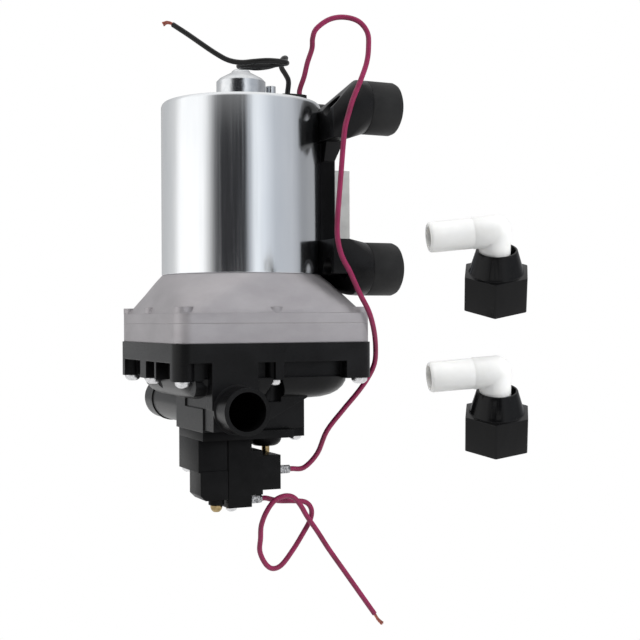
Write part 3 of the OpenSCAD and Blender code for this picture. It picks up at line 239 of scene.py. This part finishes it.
crimp = Finish("crimped_tin", Metallic=1.0)
bites = crimp.grain(900, stretch=(1, 0.4, 1), detail=4)
crimp.colour(crimp.shade(bites, (0.16, 0.16, 0.165), (0.62, 0.62, 0.63), 0.4, 0.6))
crimp.roughness(crimp.ramp(bites, 0.4, 0.2))
crimp.relief(bites, 0.0003, 0.8, rounding=0.0003)

copper = Finish("bare_copper", Metallic=1.0)
copper.colour(copper.shade(copper.grain(1200), (0.3, 0.085, 0.07), (0.52, 0.2, 0.15)))
copper.roughness(copper.ramp(copper.grain(4000), 0.25, 0.45))
copper.relief(copper.grain(6000), 0.00003, 0.4)

laminated = Finish("laminated_core", Metallic=0.7)
layers = laminated.add(
    "ShaderNodeTexWave",
    {"Vector": laminated.place, "Scale": 320.0, "Distortion": 0.1},
    bands_direction="Z",
)
laminated.colour(laminated.shade(layers.outputs["Fac"], (0.13, 0.13, 0.14), (0.32, 0.32, 0.33)))
laminated.roughness(laminated.ramp(layers.outputs["Fac"], 0.35, 0.55))
laminated.relief(layers.outputs["Fac"], 0.0001, 0.5)
print("metal finishes made")

# %% [markdown]
# ## Plastic and rubber finishes
# The head and switch are glass filled plastic, nearly black with a fine satin grain. The swivel
# nuts are smoother. The elbows are natural nylon, which lets light in under its surface.

# %% Black mouldings
moulded = Finish("black_moulding", IOR=1.42, Specular_IOR_Level=0.2)
pores = moulded.grain(3200, detail=4, rough=0.65)
flow = moulded.grain(70)
moulded.colour(moulded.shade(flow, (0.003, 0.003, 0.0032), (0.006, 0.006, 0.0065)))
moulded.roughness(moulded.ramp(pores, 0.24, 0.36))
moulded.relief(pores, 0.00006, 0.5, rounding=0.0006)

glossy = Finish("black_gloss_moulding", IOR=1.45, Specular_IOR_Level=0.2)
smears = glossy.grain(160, stretch=(1, 1, 3))
glossy.colour(glossy.shade(smears, (0.002, 0.002, 0.0022), (0.004, 0.004, 0.0044)))
glossy.roughness(glossy.ramp(smears, 0.12, 0.24))
glossy.relief(glossy.grain(500), 0.00008, 0.3, rounding=0.0006)

switch_black = Finish("black_switch_moulding", IOR=1.3, Specular_IOR_Level=0.15)
pits = switch_black.grain(2600, detail=5, rough=0.7)
haze = switch_black.grain(90)
switch_black.colour(switch_black.shade(haze, (0.004, 0.004, 0.0042), (0.007, 0.007, 0.0074)))
switch_black.roughness(switch_black.ramp(pits, 0.3, 0.44))
switch_black.relief(pits, 0.00007, 0.5, rounding=0.0005)

rubber = Finish("black_rubber", IOR=1.4, Specular_IOR_Level=0.4)
skin = rubber.grain(1800, detail=5, rough=0.7)
rubber.colour(rubber.shade(rubber.grain(90), (0.005, 0.005, 0.0052), (0.011, 0.011, 0.011)))
rubber.roughness(rubber.ramp(skin, 0.48, 0.66))
rubber.relief(skin, 0.00012, 0.5, rounding=0.0009)
print("four black finishes made")

# %% Nylon, small plastics and the wires' covers
nylon = Finish("natural_nylon", IOR=1.53, Subsurface_Weight=0.35, Subsurface_Scale=0.003)
nylon.shader.inputs["Subsurface Radius"].default_value = (1.0, 0.95, 0.85)
nylon.colour(nylon.shade(nylon.grain(120), (0.61, 0.61, 0.6), (0.67, 0.67, 0.66)))
nylon.roughness(nylon.ramp(nylon.grain(900), 0.3, 0.44))
nylon.relief(nylon.grain(300), 0.00008, 0.4, rounding=0.0009)


def plain_plastic(name, dark, light, low, high, gloss=0.5):
    finish = Finish(name, Specular_IOR_Level=gloss)
    fine = finish.grain(2400, detail=4)
    finish.colour(finish.shade(finish.grain(140), dark, light))
    finish.roughness(finish.ramp(fine, low, high))
    finish.relief(fine, 0.00005, 0.4, rounding=0.0004)
    return finish


acetal = plain_plastic("white_acetal", (0.62, 0.62, 0.59), (0.74, 0.74, 0.71), 0.3, 0.45)
pale_plate = plain_plastic("pale_plate", (0.3, 0.3, 0.29), (0.38, 0.38, 0.37), 0.4, 0.55)
switch_red = plain_plastic("red_switch_case", (0.3, 0.03, 0.02), (0.42, 0.05, 0.04), 0.25, 0.4)
card = plain_plastic("brown_card", (0.16, 0.08, 0.03), (0.28, 0.15, 0.07), 0.5, 0.7)
ferrite = plain_plastic("pressed_ferrite", (0.05, 0.05, 0.055), (0.09, 0.09, 0.095), 0.5, 0.65)
carbon = plain_plastic("pressed_carbon", (0.02, 0.02, 0.02), (0.05, 0.05, 0.05), 0.4, 0.6)
red_cover = plain_plastic("red_wire_cover", (0.135, 0.003, 0.032), (0.21, 0.006, 0.058), 0.42, 0.56)
black_cover = plain_plastic(
    "black_wire_cover", (0.003, 0.003, 0.003), (0.008, 0.008, 0.008), 0.26, 0.4, gloss=0.25
)
print("plastic finishes made")

# %% [markdown]
# ## Give every solid its finish
# The solids come as loose triangles with flat shading. Flat faces can stay as they are, but a
# round can or a cone would show its facets in every reflection. So the pieces that are seen are
# copied, their corners merged, and their curved faces shaded smooth up to a crease angle.

# %% Which finish goes on which solid
finish_of_slot = {
    "plated_steel": zinc,
    "steel": steel,
    "cast_metal": cast,
    "black_moulding": moulded,
    "black_gloss": glossy,
    "rubber": rubber,
    "grey_plate": pale_plate,
    "white_nylon": nylon,
    "white_plastic": acetal,
    "brass": brass,
    "copper": copper,
    "red_insulation": red_cover,
    "black_insulation": black_cover,
    "dark_ferrite": ferrite,
    "carbon": carbon,
    "brown_card": card,
    "red_switch": switch_red,
}
finish_of_node = {node: finish_of_slot[slot] for node, slot in slot_of_node.items()}
finish_of_node["bearing_cup"] = bright_zinc
finish_of_node["end_plate"] = bright_zinc
for node in ("switch_flange", "switch_body", "switch_cover"):
    finish_of_node[node] = switch_black
finish_of_node["armature_core"] = laminated
finish_of_node["crimp_sleeves"] = crimp
for node, solid in frame["nodes"].items():
    solid.data.materials.clear()
    solid.data.materials.append(finish_of_node[node].material)
print(len(set(finish_of_node.values())), "finishes on", len(finish_of_node), "nodes")

# %% Smooth copies of the pieces that are seen


def new_piece(name, mesh, node, *others):
    """A piece that stands for one or more solids and rides on their body."""
    piece = in_scene(name, mesh)
    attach(piece, body_of_node[node])
    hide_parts(node, *others)
    return piece


def smoothed(node, crease=math.radians(32), rounding=0.0):
    """A copy with merged corners, smooth up to the crease, and sharp edges rounded if asked."""
    mesh = frame["nodes"][node].data.copy()
    if "custom_normal" in mesh.attributes:
        mesh.attributes.remove(mesh.attributes["custom_normal"])
    merged = bmesh.new()
    merged.from_mesh(mesh)
    bmesh.ops.remove_doubles(merged, verts=merged.verts, dist=2e-6)
    if rounding:
        bmesh.ops.dissolve_limit(merged, angle_limit=0.01, verts=merged.verts, edges=merged.edges)
        corners = [
            edge for edge in merged.edges if edge.is_manifold and edge.calc_face_angle() > crease
        ]
        bmesh.ops.bevel(
            merged, geom=corners, offset=rounding, segments=3, profile=0.5, affect="EDGES",
            clamp_overlap=True,
        )
    merged.to_mesh(mesh)
    merged.free()
    mesh.name = node + "_smooth"
    mesh.shade_smooth()
    mesh.set_sharp_from_angle(angle=crease)
    return new_piece(node + "_smooth", mesh, node)


edge_rounding = {
    "switch_flange": 0.0006, "switch_body": 0.0008, "switch_cover": 0.0008,
    "mount_saddle": 0.0008, "nut_upper": 0.0005, "nut_lower": 0.0005,
}
seen_round = [
    "motor_can", "end_plate", "bearing_cup", "wire_grommet", "motor_adaptor", "drive_housing",
    "pump_head", "switch_flange", "switch_body", "switch_cover", "switch_stud", "crimp_sleeves",
    "mount_saddle", "saddle_screws", "rubber_feet", "foot_sleeves", "elbow_upper", "elbow_lower",
    "nut_upper", "nut_lower", "nut_washers", "motor_bolts",
]
for node in seen_round:
    smoothed(node, rounding=edge_rounding.get(node, 0.0))
print(len(seen_round), "pieces smoothed")

# %% [markdown]
# ## Recipes for what repeats
# Screws and strands come many times over, so each is described once as a Geometry Nodes tree with
# named sizes. The tree runs on a few points or on a line, its result becomes a plain mesh, and the
# helper object that carried it goes away again.

# %% The recipe helper


class Recipe:
    def __init__(self, name, **sizes):
        self.tree = bpy.data.node_groups.new(name, "GeometryNodeTree")
        self.tree.is_modifier = True
        shelf = self.tree.interface
        shelf.new_socket("Geometry", in_out="INPUT", socket_type="NodeSocketGeometry")
        shelf.new_socket("Geometry", in_out="OUTPUT", socket_type="NodeSocketGeometry")
        for label, value in sizes.items():
            size = shelf.new_socket(
                label.replace("_", " "), in_out="INPUT", socket_type="NodeSocketFloat"
            )
            size.default_value = value
        shelf.new_socket("finish", in_out="INPUT", socket_type="NodeSocketMaterial")
        self.given = self.tree.nodes.new("NodeGroupInput").outputs

    def add(self, kind, inputs=None, **settings):
        return add_node(self.tree, kind, inputs, **settings)

    def sum(self, operation, *values):
        """One step of arithmetic on numbers or sockets."""
        return self.add("ShaderNodeMath", dict(enumerate(values)), operation=operation).outputs[0]

    def vector(self, x, y, z):
        return self.add("ShaderNodeCombineXYZ", {"X": x, "Y": y, "Z": z}).outputs[0]

    def end(self, shape):
        """Every tree closes with real geometry that carries its finish."""
        real = self.add("GeometryNodeRealizeInstances", {"Geometry": shape})
        dressed = self.add(
            "GeometryNodeSetMaterial",
            {"Geometry": real.outputs[0], "Material": self.given["finish"]},
        )
        self.add("NodeGroupOutput", {"Geometry": dressed.outputs[0]})

    def run(self, name, points, edges, finish, **sizes):
        """The plain mesh that the recipe makes of some points, or of a line of points."""
        start = bpy.data.meshes.new(name + "_start")
        start.from_pydata(points, edges, [])
        carrier = in_scene(name + "_start", start)
        step = carrier.modifiers.new("recipe", "NODES")
        step.node_group = self.tree
        chosen = {label.replace("_", " "): value for label, value in sizes.items()}
        chosen["finish"] = finish.material
        for item in self.tree.interface.items_tree:
            if item.in_out == "INPUT" and item.name in chosen:
                step[item.identifier] = chosen[item.name]
        evaluated = carrier.evaluated_get(bpy.context.evaluated_depsgraph_get())
        result = bpy.data.meshes.new_from_object(evaluated)
        carrier.modifiers.clear()
        bpy.data.objects.remove(carrier)
        result.name = name
        result.shade_smooth()
        result.set_sharp_from_angle(angle=math.radians(35))
        print(name, "has", len(result.polygons), "faces")
        return result


print("recipes are made with", ", ".join(name for name in vars(Recipe) if name[0] != "_"))

# %% [markdown]
# ## Screws
# The head is held to the castings by eight pan head screws with a cross recess, and the switch by
# three smaller ones. A brass one of the same shape sets the switch. A screw starts as a cylinder
# whose crown is drawn in, two crossed bars are cut out of it, and a plain shank goes up from it.
# All of their heads point down, and each is turned by chance.

# %% The screw recipe
screw = Recipe(
    "pan_head_screw", head_radius=0.0038, head_height=0.0028, shank_radius=0.002, shank_length=0.02
)
head = screw.add(
    "GeometryNodeMeshCylinder",
    {
        "Vertices": 32, "Side Segments": 9, "Fill Segments": 2,
        "Radius": screw.given["head radius"], "Depth": screw.given["head height"],
    },
)
position = screw.add("GeometryNodeInputPosition").outputs[0]
spot = screw.add("ShaderNodeSeparateXYZ", {0: position}).outputs
half = screw.sum("MULTIPLY", screw.given["head height"], 0.5)
down = screw.sum("SUBTRACT", half, spot["Z"])
depth_share = screw.sum("DIVIDE", down, screw.given["head height"])
crown = screw.sum("MULTIPLY", screw.sum("POWER", depth_share, 3.0), 0.5)
drawn_in = screw.sum("SUBTRACT", 1.0, crown)
domed = screw.add(
    "GeometryNodeSetPosition",
    {
        "Geometry": head.outputs["Mesh"],
        "Position": screw.vector(
            screw.sum("MULTIPLY", spot["X"], drawn_in),
            screw.sum("MULTIPLY", spot["Y"], drawn_in),
            screw.sum("MULTIPLY", down, -1.0),
        ),
    },
)
long_side = screw.sum("MULTIPLY", screw.given["head radius"], 0.85)
short_side = screw.sum("MULTIPLY", screw.given["head radius"], 0.22)
crown_at = screw.vector(0.0, 0.0, screw.sum("MULTIPLY", screw.given["head height"], -1.0))
bars = []
for x, y in ((long_side, short_side), (short_side, long_side)):
    size = screw.vector(x, y, screw.given["head height"])
    bar = screw.add("GeometryNodeMeshCube", {"Size": size})
    moved = screw.add(
        "GeometryNodeTransform", {"Geometry": bar.outputs["Mesh"], "Translation": crown_at}
    )
    bars.append(moved.outputs[0])
recessed = screw.add(
    "GeometryNodeMeshBoolean", {0: domed.outputs[0], 1: bars}, operation="DIFFERENCE"
)
shank = screw.add(
    "GeometryNodeMeshCylinder",
    {"Vertices": 24, "Radius": screw.given["shank radius"], "Depth": screw.given["shank length"]},
)
half_shank = screw.sum("MULTIPLY", screw.given["shank length"], 0.5)
raised = screw.add(
    "GeometryNodeTransform",
    {"Geometry": shank.outputs["Mesh"], "Translation": screw.vector(0.0, 0.0, half_shank)},
)
whole = screw.add("GeometryNodeJoinGeometry", {0: [recessed.outputs[0], raised.outputs[0]]})
chance = screw.add(
    "FunctionNodeRandomValue",
    {0: (0, 0, 0), 1: (0, 0, math.pi), "Seed": 5},
    data_type="FLOAT_VECTOR",
)
placed = screw.add(
    "GeometryNodeInstanceOnPoints",
    {
        "Points": screw.given["Geometry"], "Instance": whole.outputs[0],
        "Rotation": chance.outputs[0],
    },
)
screw.end(placed.outputs[0])
print("the screw recipe has", len(screw.tree.nodes), "nodes")

# %% Drive the screws
column_x, row_y, middle_x = 40, 42.5, -5
head_spots = [(x, y) for x in (-column_x, column_x) for y in (-row_y, 0, row_y)]
head_spots += [(middle_x, -row_y), (middle_x, row_y)]
under_skirt = -16.4
head_screws = screw.run(
    "head_screws_cross", [at(x, y, under_skirt) for x, y in head_spots], [], steel,
    shank_length=0.0298,
)
new_piece("head_screws_cross", head_screws, "head_screws")

# Place, radius and height of the head, and length of the shank, of each small screw, in millimetres
small_screws = (
    ((3.8, -28.4, -58), 3, 2, 26),
    ((24.5, 16.7, -43.4), 3, 2, 12),
    ((24.5, -15, -74.7), 2.6, 1.8, 6.5),
)
switch_set = bmesh.new()
for number, (place, radius, height, length) in enumerate(small_screws):
    one = screw.run(
        "switch_screw_%d" % number, [at(*place)], [], steel, head_radius=radius * 0.001,
        head_height=height * 0.001, shank_radius=0.0015, shank_length=length * 0.001,
    )
    switch_set.from_mesh(one)
    bpy.data.meshes.remove(one)
switch_mesh = bpy.data.meshes.new("switch_screws_cross")
switch_set.to_mesh(switch_mesh)
switch_set.free()
switch_mesh.materials.append(steel.material)
new_piece("switch_screws_cross", switch_mesh, "switch_screws")

# The brass screw that sets the switch is the same shape, on its own turning body
adjuster = screw.run(
    "adjusting_screw_cross", [at(24, -22, -73.4)], [], brass, head_radius=0.00275,
    head_height=0.003, shank_radius=0.00195, shank_length=0.0067,
)
new_piece("adjusting_screw_cross", adjuster, "adjusting_screw")

# %% [markdown]
# ## Wires
# The leads are thin stranded wire, 2.4 mm over the cover, stiff enough to keep the bends that
# somebody's fingers put in them. Each runs along the points of its solid, joined by a smooth
# curve, and the curve is given a round section. The can doesn't mirror them: in the photograph its
# plating shows no line of the red lead, which passes in front of it.

# %% Smooth routes through the drawn points
black_points = [
    (26, 13, 113), (26, 13.1, 115.4), (25.5, 13.8, 120.8), (24, 12.9, 124.3), (22.2, 11.8, 127.4),
    (20.7, 12.2, 130.3), (18.9, 14.1, 132.7), (15.6, 16.7, 133.8), (11.8, 17.3, 133.5),
    (8.2, 15.4, 132.4), (6.8, 11.3, 131), (9.2, 4.9, 129.4), (10.1, -0.2, 129.1),
    (11.8, -4.5, 128.5), (14.8, -6.7, 128.2), (18.6, -6.6, 127.8), (22.1, -3.7, 127.4),
    (23.6, 0.9, 127.4), (24.7, 5.9, 127.9), (28, 9.2, 128), (32.5, 9.9, 127.5), (36.5, 7.6, 127),
    (38, 3.5, 126.8), (36.4, -1.3, 127), (32.8, -6.2, 126.9), (28.5, -10.8, 126.9),
    (24, -15.4, 128.5), (19.6, -20.1, 132.2), (14.9, -25.1, 137), (9.9, -30.2, 142.1),
    (4.7, -35.3, 147),
]
red_points = [
    (26, 19.2, 113), (26, 19.2, 117), (28, 20.6, 123), (31, 21, 129), (34, 22, 135), (37, 21, 139),
    (39, 22, 143), (42, 27, 147), (45, 33, 148), (48, 39, 146), (49, 43, 141), (50, 43, 134),
    (50, 42, 127), (50, 39, 119), (50, 35, 110), (50, 33, 104), (50, 31, 97), (50, 30, 89),
    (50, 29, 78), (50, 28, 67), (50, 27, 56), (50, 27, 47), (50, 29, 39), (50, 33, 32),
    (50, 38, 22), (49, 43, 14), (46, 47, 6), (42, 50, -2), (39, 51, -10), (36, 49, -17),
    (33, 45, -24), (30, 39, -32), (27.1, 31.8, -41.9), (22.9, 28.8, -52.6), (20.1, 23.1, -59.3),
    (20, 17, -59.5), (20, 15.6, -59.5),
]
tail_points = [
    (20, 1.4, -72.4), (20, 4, -72.5), (20, 10, -74.1), (20, 18, -74.7), (20, 23.9, -75.7),
    (20, 26.8, -79.1), (20, 26.3, -84), (20, 22, -91), (20, 17, -98), (21, 11, -104),
    (22, 6, -105), (23, 2, -102), (24, -1, -96), (25, -1, -90), (26, -1, -84), (27, 1, -78),
    (27, 5, -73), (27, 10, -71), (26, 15, -72), (25, 19, -76), (24, 23, -82), (24, 28, -89),
    (24, 34, -98), (24, 42, -109), (24, 50, -120), (24, 58, -131),
]


def smooth_route(points, steps=5):
    """Catmull-Rom curve through the points, ends included, in metres."""
    held = [at(*p) for p in points]
    held = [held[0] * 2 - held[1]] + held + [held[-1] * 2 - held[-2]]
    route = []
    for a, b, c, d in zip(held, held[1:], held[2:], held[3:]):
        slope = c - a
        bend = 2 * a - 5 * b + 4 * c - d
        twist = 3 * b - a - 3 * c + d
        for k in range(steps):
            t = k / steps
            route.append(0.5 * ((2 * b) + slope * t + bend * t**2 + twist * t**3))
    return route + [held[-2]]


def length_of(route):
    return sum((b - a).length for a, b in zip(route, route[1:]))


def wire_curve(name, route, radius, finish, roundness=6):
    """A curve through the route with a round section, closed at both ends."""
    curve = bpy.data.curves.new(name, "CURVE")
    curve.dimensions = "3D"
    curve.bevel_depth = radius
    curve.bevel_resolution = roundness
    curve.use_fill_caps = True
    line = curve.splines.new("POLY")
    line.points.add(len(route) - 1)
    for point, place in zip(line.points, route):
        point.co = (*place, 1)
    line.use_smooth = True
    curve.materials.append(finish.material)
    return in_scene(name, curve)


print(len(black_points), len(red_points), len(tail_points), "points on the three routes")

# %% [markdown]
# ## Bare ends
# At both free ends the cover is stripped off and seven copper strands show, twisted together and
# splayed a little at the tip. A recipe copies the line six times, winds the copies round it by the
# line's own normal, moves them outwards towards the end, and gives every line a round section.

# %% The strand recipe
outer_strands = 6
strand = Recipe("twisted_strands", strand_radius=0.00026, spacing=0.00044, splay=0.0004, twist=4.0)
line = strand.add("GeometryNodeMeshToCurve", {"Mesh": strand.given["Geometry"]})
even = strand.add("GeometryNodeResampleCurve", {"Curve": line.outputs[0], "Count": 20})
copies = strand.add(
    "GeometryNodeDuplicateElements",
    {"Geometry": even.outputs[0], "Amount": outer_strands},
    domain="SPLINE",
)
share = strand.add("GeometryNodeSplineParameter").outputs["Factor"]
angle = strand.sum(
    "ADD",
    strand.sum("MULTIPLY", copies.outputs["Duplicate Index"], math.tau / outer_strands),
    strand.sum("MULTIPLY", share, strand.given["twist"]),
)
opening = strand.sum("MULTIPLY", strand.sum("MULTIPLY", share, share), strand.given["splay"])
reach = strand.sum("ADD", strand.given["spacing"], opening)
normal = strand.add("GeometryNodeInputNormal").outputs[0]
tangent = strand.add("GeometryNodeInputTangent").outputs[0]
beside = strand.add("ShaderNodeVectorMath", {0: tangent, 1: normal}, operation="CROSS_PRODUCT")
parts_of_way = []
for side_vector, turn_kind in ((normal, "COSINE"), (beside.outputs[0], "SINE")):
    amount = strand.sum("MULTIPLY", strand.sum(turn_kind, angle), reach)
    scaled = strand.add(
        "ShaderNodeVectorMath", {0: side_vector, "Scale": amount}, operation="SCALE"
    )
    parts_of_way.append(scaled.outputs[0])
way = strand.add("ShaderNodeVectorMath", dict(enumerate(parts_of_way)), operation="ADD").outputs[0]
wound = strand.add("GeometryNodeSetPosition", {"Geometry": copies.outputs[0], "Offset": way})
bundle = strand.add("GeometryNodeJoinGeometry", {0: [even.outputs[0], wound.outputs[0]]})
round_section = strand.add(
    "GeometryNodeCurvePrimitiveCircle", {"Resolution": 8, "Radius": strand.given["strand radius"]}
)
tubes = strand.add(
    "GeometryNodeCurveToMesh",
    {"Curve": bundle.outputs[0], "Profile Curve": round_section.outputs[0], "Fill Caps": True},
)
strand.end(tubes.outputs[0])
print("the strand recipe has", len(strand.tree.nodes), "nodes")

# %% Twist the two bare ends


def bare_end(name, points, splay):
    route = smooth_route(points, steps=8)
    edges = [(k, k + 1) for k in range(len(route) - 1)]
    return new_piece(name, strand.run(name, route, edges, copper, splay=splay), "bare_ends")


black_tip = [black_points[-1], (4, -36, 147.7), (3.3, -37.8, 148), (2.7, -39.4, 147.2)]
tail_tip = [tail_points[-1], (24, 60, -134), (24, 62.2, -136.1)]
black_strands = bare_end("black_lead_strands", black_tip, 0.0004)
tail_strands = bare_end("red_tail_strands", tail_tip, 0.0003)

# %% Lay the three wires
cover_diameter = 0.0024
for node, points, finish, far_end, pieces in (
    ("black_lead", black_points, black_cover, "bare", [black_strands]),
    ("red_lead", red_points, red_cover, "object", []),
    ("red_tail", tail_points, red_cover, "bare", [tail_strands]),
):
    route = smooth_route(points)
    wire = wire_curve(node + "_wire", route, cover_diameter / 2, finish)
    wire.visible_glossy = False
    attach(wire, "pump")
    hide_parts(node)
    print(node, "is", round(length_of(route) * 1000), "mm long")

# %% [markdown]
# ## Light
# A plated can shows the room round it, not its own colour. The photographer stood in front of a
# darker room, with a big white screen on the left and a cooler one on the right, so the can has a
# white band, a dark band and a bluish band. The world is painted with those bands by compass
# direction. The camera itself sees plain white.

# %% Paint the world in bands round the camera's direction
world = bpy.data.worlds.new("studio")
bpy.context.scene.world = world
world.use_nodes = True
tree = world.node_tree
tree.nodes.clear()
camera_bearing = math.radians(24.6)


def sky(kind, inputs=None, **settings):
    return add_node(tree, kind, inputs, **settings)


direction = sky("ShaderNodeTexCoord").outputs["Generated"]
turned = sky(
    "ShaderNodeVectorRotate", {"Vector": direction, "Angle": camera_bearing}, rotation_type="Z_AXIS"
)
parts = sky("ShaderNodeSeparateXYZ", {"Vector": turned.outputs["Vector"]})
compass = sky(
    "ShaderNodeMath", {0: parts.outputs["Y"], 1: parts.outputs["X"]}, operation="ARCTAN2"
)
share = sky(
    "ShaderNodeMapRange",
    {"Value": compass.outputs["Value"], "From Min": -math.pi, "From Max": math.pi},
)
bands = sky("ShaderNodeValToRGB", {"Fac": share.outputs["Result"]})
# Degrees round from the camera, to its right-hand side, and the brightness painted there
stops = [
    (-180, (0.5, 0.5, 0.51)), (-130, (0.62, 0.63, 0.64)), (-108, (0.8, 0.8, 0.8)),
    (-94, (1.3, 1.3, 1.3)), (-53, (1.3, 1.3, 1.3)), (-34, (0.14, 0.14, 0.145)),
    (-24, (0.034, 0.034, 0.037)), (9, (0.034, 0.034, 0.037)), (18, (0.7, 0.73, 0.78)),
    (24, (1.1, 1.14, 1.18)), (36, (0.92, 0.96, 1.02)), (54, (0.6, 0.63, 0.68)),
    (84, (0.58, 0.6, 0.64)), (100, (0.36, 0.37, 0.39)), (180, (0.5, 0.5, 0.51)),
]
band_ramp = bands.color_ramp
for angle, colour in stops[1:-1]:
    band_ramp.elements.new((angle + 180) / 360).color = (*colour, 1)
for end in (0, -1):
    band_ramp.elements[end].color = (*stops[end][1], 1)
# Towards the ceiling the bands give way to plain white
overhead = sky(
    "ShaderNodeMapRange", {"Value": parts.outputs["Z"], "From Min": 0.42, "From Max": 0.9}
)
ceiling = sky(
    "ShaderNodeMix",
    {0: overhead.outputs["Result"], 6: bands.outputs["Color"], 7: (1.1, 1.1, 1.1, 1)},
    data_type="RGBA",
)
rays = sky("ShaderNodeLightPath")
painted = sky("ShaderNodeBackground", {"Color": ceiling.outputs[2], "Strength": 1.0})
white = sky("ShaderNodeBackground", {"Color": (1, 1, 1, 1), "Strength": 1.0})
chosen = sky(
    "ShaderNodeMixShader",
    {0: rays.outputs["Is Camera Ray"], 1: painted.outputs[0], 2: white.outputs[0]},
)
sky("ShaderNodeOutputWorld", {"Surface": chosen.outputs[0]})
print("world painted with", len(stops), "stops")

# %% [markdown]
# ## Lamps and floor
# One soft panel lights the castings from above, and two weaker ones fill the sides. They don't show
# in reflections, or they would spoil the can's bands. The floor lies well below, pale and plain.

# %% Set the lamps


def panel(name, place, aim, size, power):
    """A soft lamp at place that shines towards aim."""
    lamp = bpy.data.lights.new(name, "AREA")
    lamp.shape = "RECTANGLE"
    lamp.size, lamp.size_y = size
    lamp.energy = power
    thing = in_scene(name, lamp)
    thing.location = place
    thing.rotation_euler = (aim - place).to_track_quat("-Z", "Y").to_euler()
    thing.visible_glossy = False
    return thing


centre = at(20, 10, 30)
above = centre - sight * 0.5 - right * 0.2 + up * 1.4
on_left = centre - right * 1.2 - sight * 0.2 + up * 0.3
on_right = centre + right * 0.8 - sight * 0.45 + up * 0.2
beside_fittings = centre + right * 0.12
panels = (
    panel("key_above", above, centre, (0.9, 0.9), 10.0),
    panel("left_screen", on_left, centre, (0.6, 1.2), 2.0),
    panel("right_screen", on_right, beside_fittings, (0.3, 0.5), 7.5),
)
print(len(panels), "panels,", sum(lamp.data.energy for lamp in panels), "watts")

# %% Lay the floor
floor_height = -0.42
half_side = 3.0
signs = ((-1, -1), (1, -1), (1, 1), (-1, 1))
floor_corners = [(x * half_side, y * half_side, floor_height) for x, y in signs]
floor_mesh = bpy.data.meshes.new("floor")
floor_mesh.from_pydata(floor_corners, [], [(0, 1, 2, 3)])
floor = in_scene("floor", floor_mesh)
paper = Finish("white_paper")
paper.colour(paper.shade(paper.grain(200), (0.56, 0.56, 0.56), (0.62, 0.62, 0.62)))
paper.roughness(0.9)
seen = paper.add("ShaderNodeLightPath")
# What looks at the paper sees it glowing white, with a painted shadow where the pump stands close
# above it: ambient occlusion darkens the glow there
floor_painted_shadow = paper.add("ShaderNodeAmbientOcclusion", {"Distance": 0.5}, samples=8)
glow = paper.add("ShaderNodeEmission", {"Color": floor_painted_shadow.outputs["Color"], "Strength": 1.0})
any_view = seen.outputs["Is Camera Ray"]
for ray in ("Is Glossy Ray", "Is Transmission Ray"):
    either = paper.add("ShaderNodeMath", {0: any_view, 1: seen.outputs[ray]}, operation="MAXIMUM")
    any_view = either.outputs[0]
blend = paper.add(
    "ShaderNodeMixShader", {0: any_view, 1: paper.shader.outputs[0], 2: glow.outputs[0]}
)
feed(paper.tree, paper.tree.nodes["Material Output"].inputs["Surface"], blend.outputs[0])
floor_mesh.materials.append(paper.material)
print("floor at", floor_height)

bpy.context.scene.view_settings.view_transform = "Standard"

# %% [markdown]
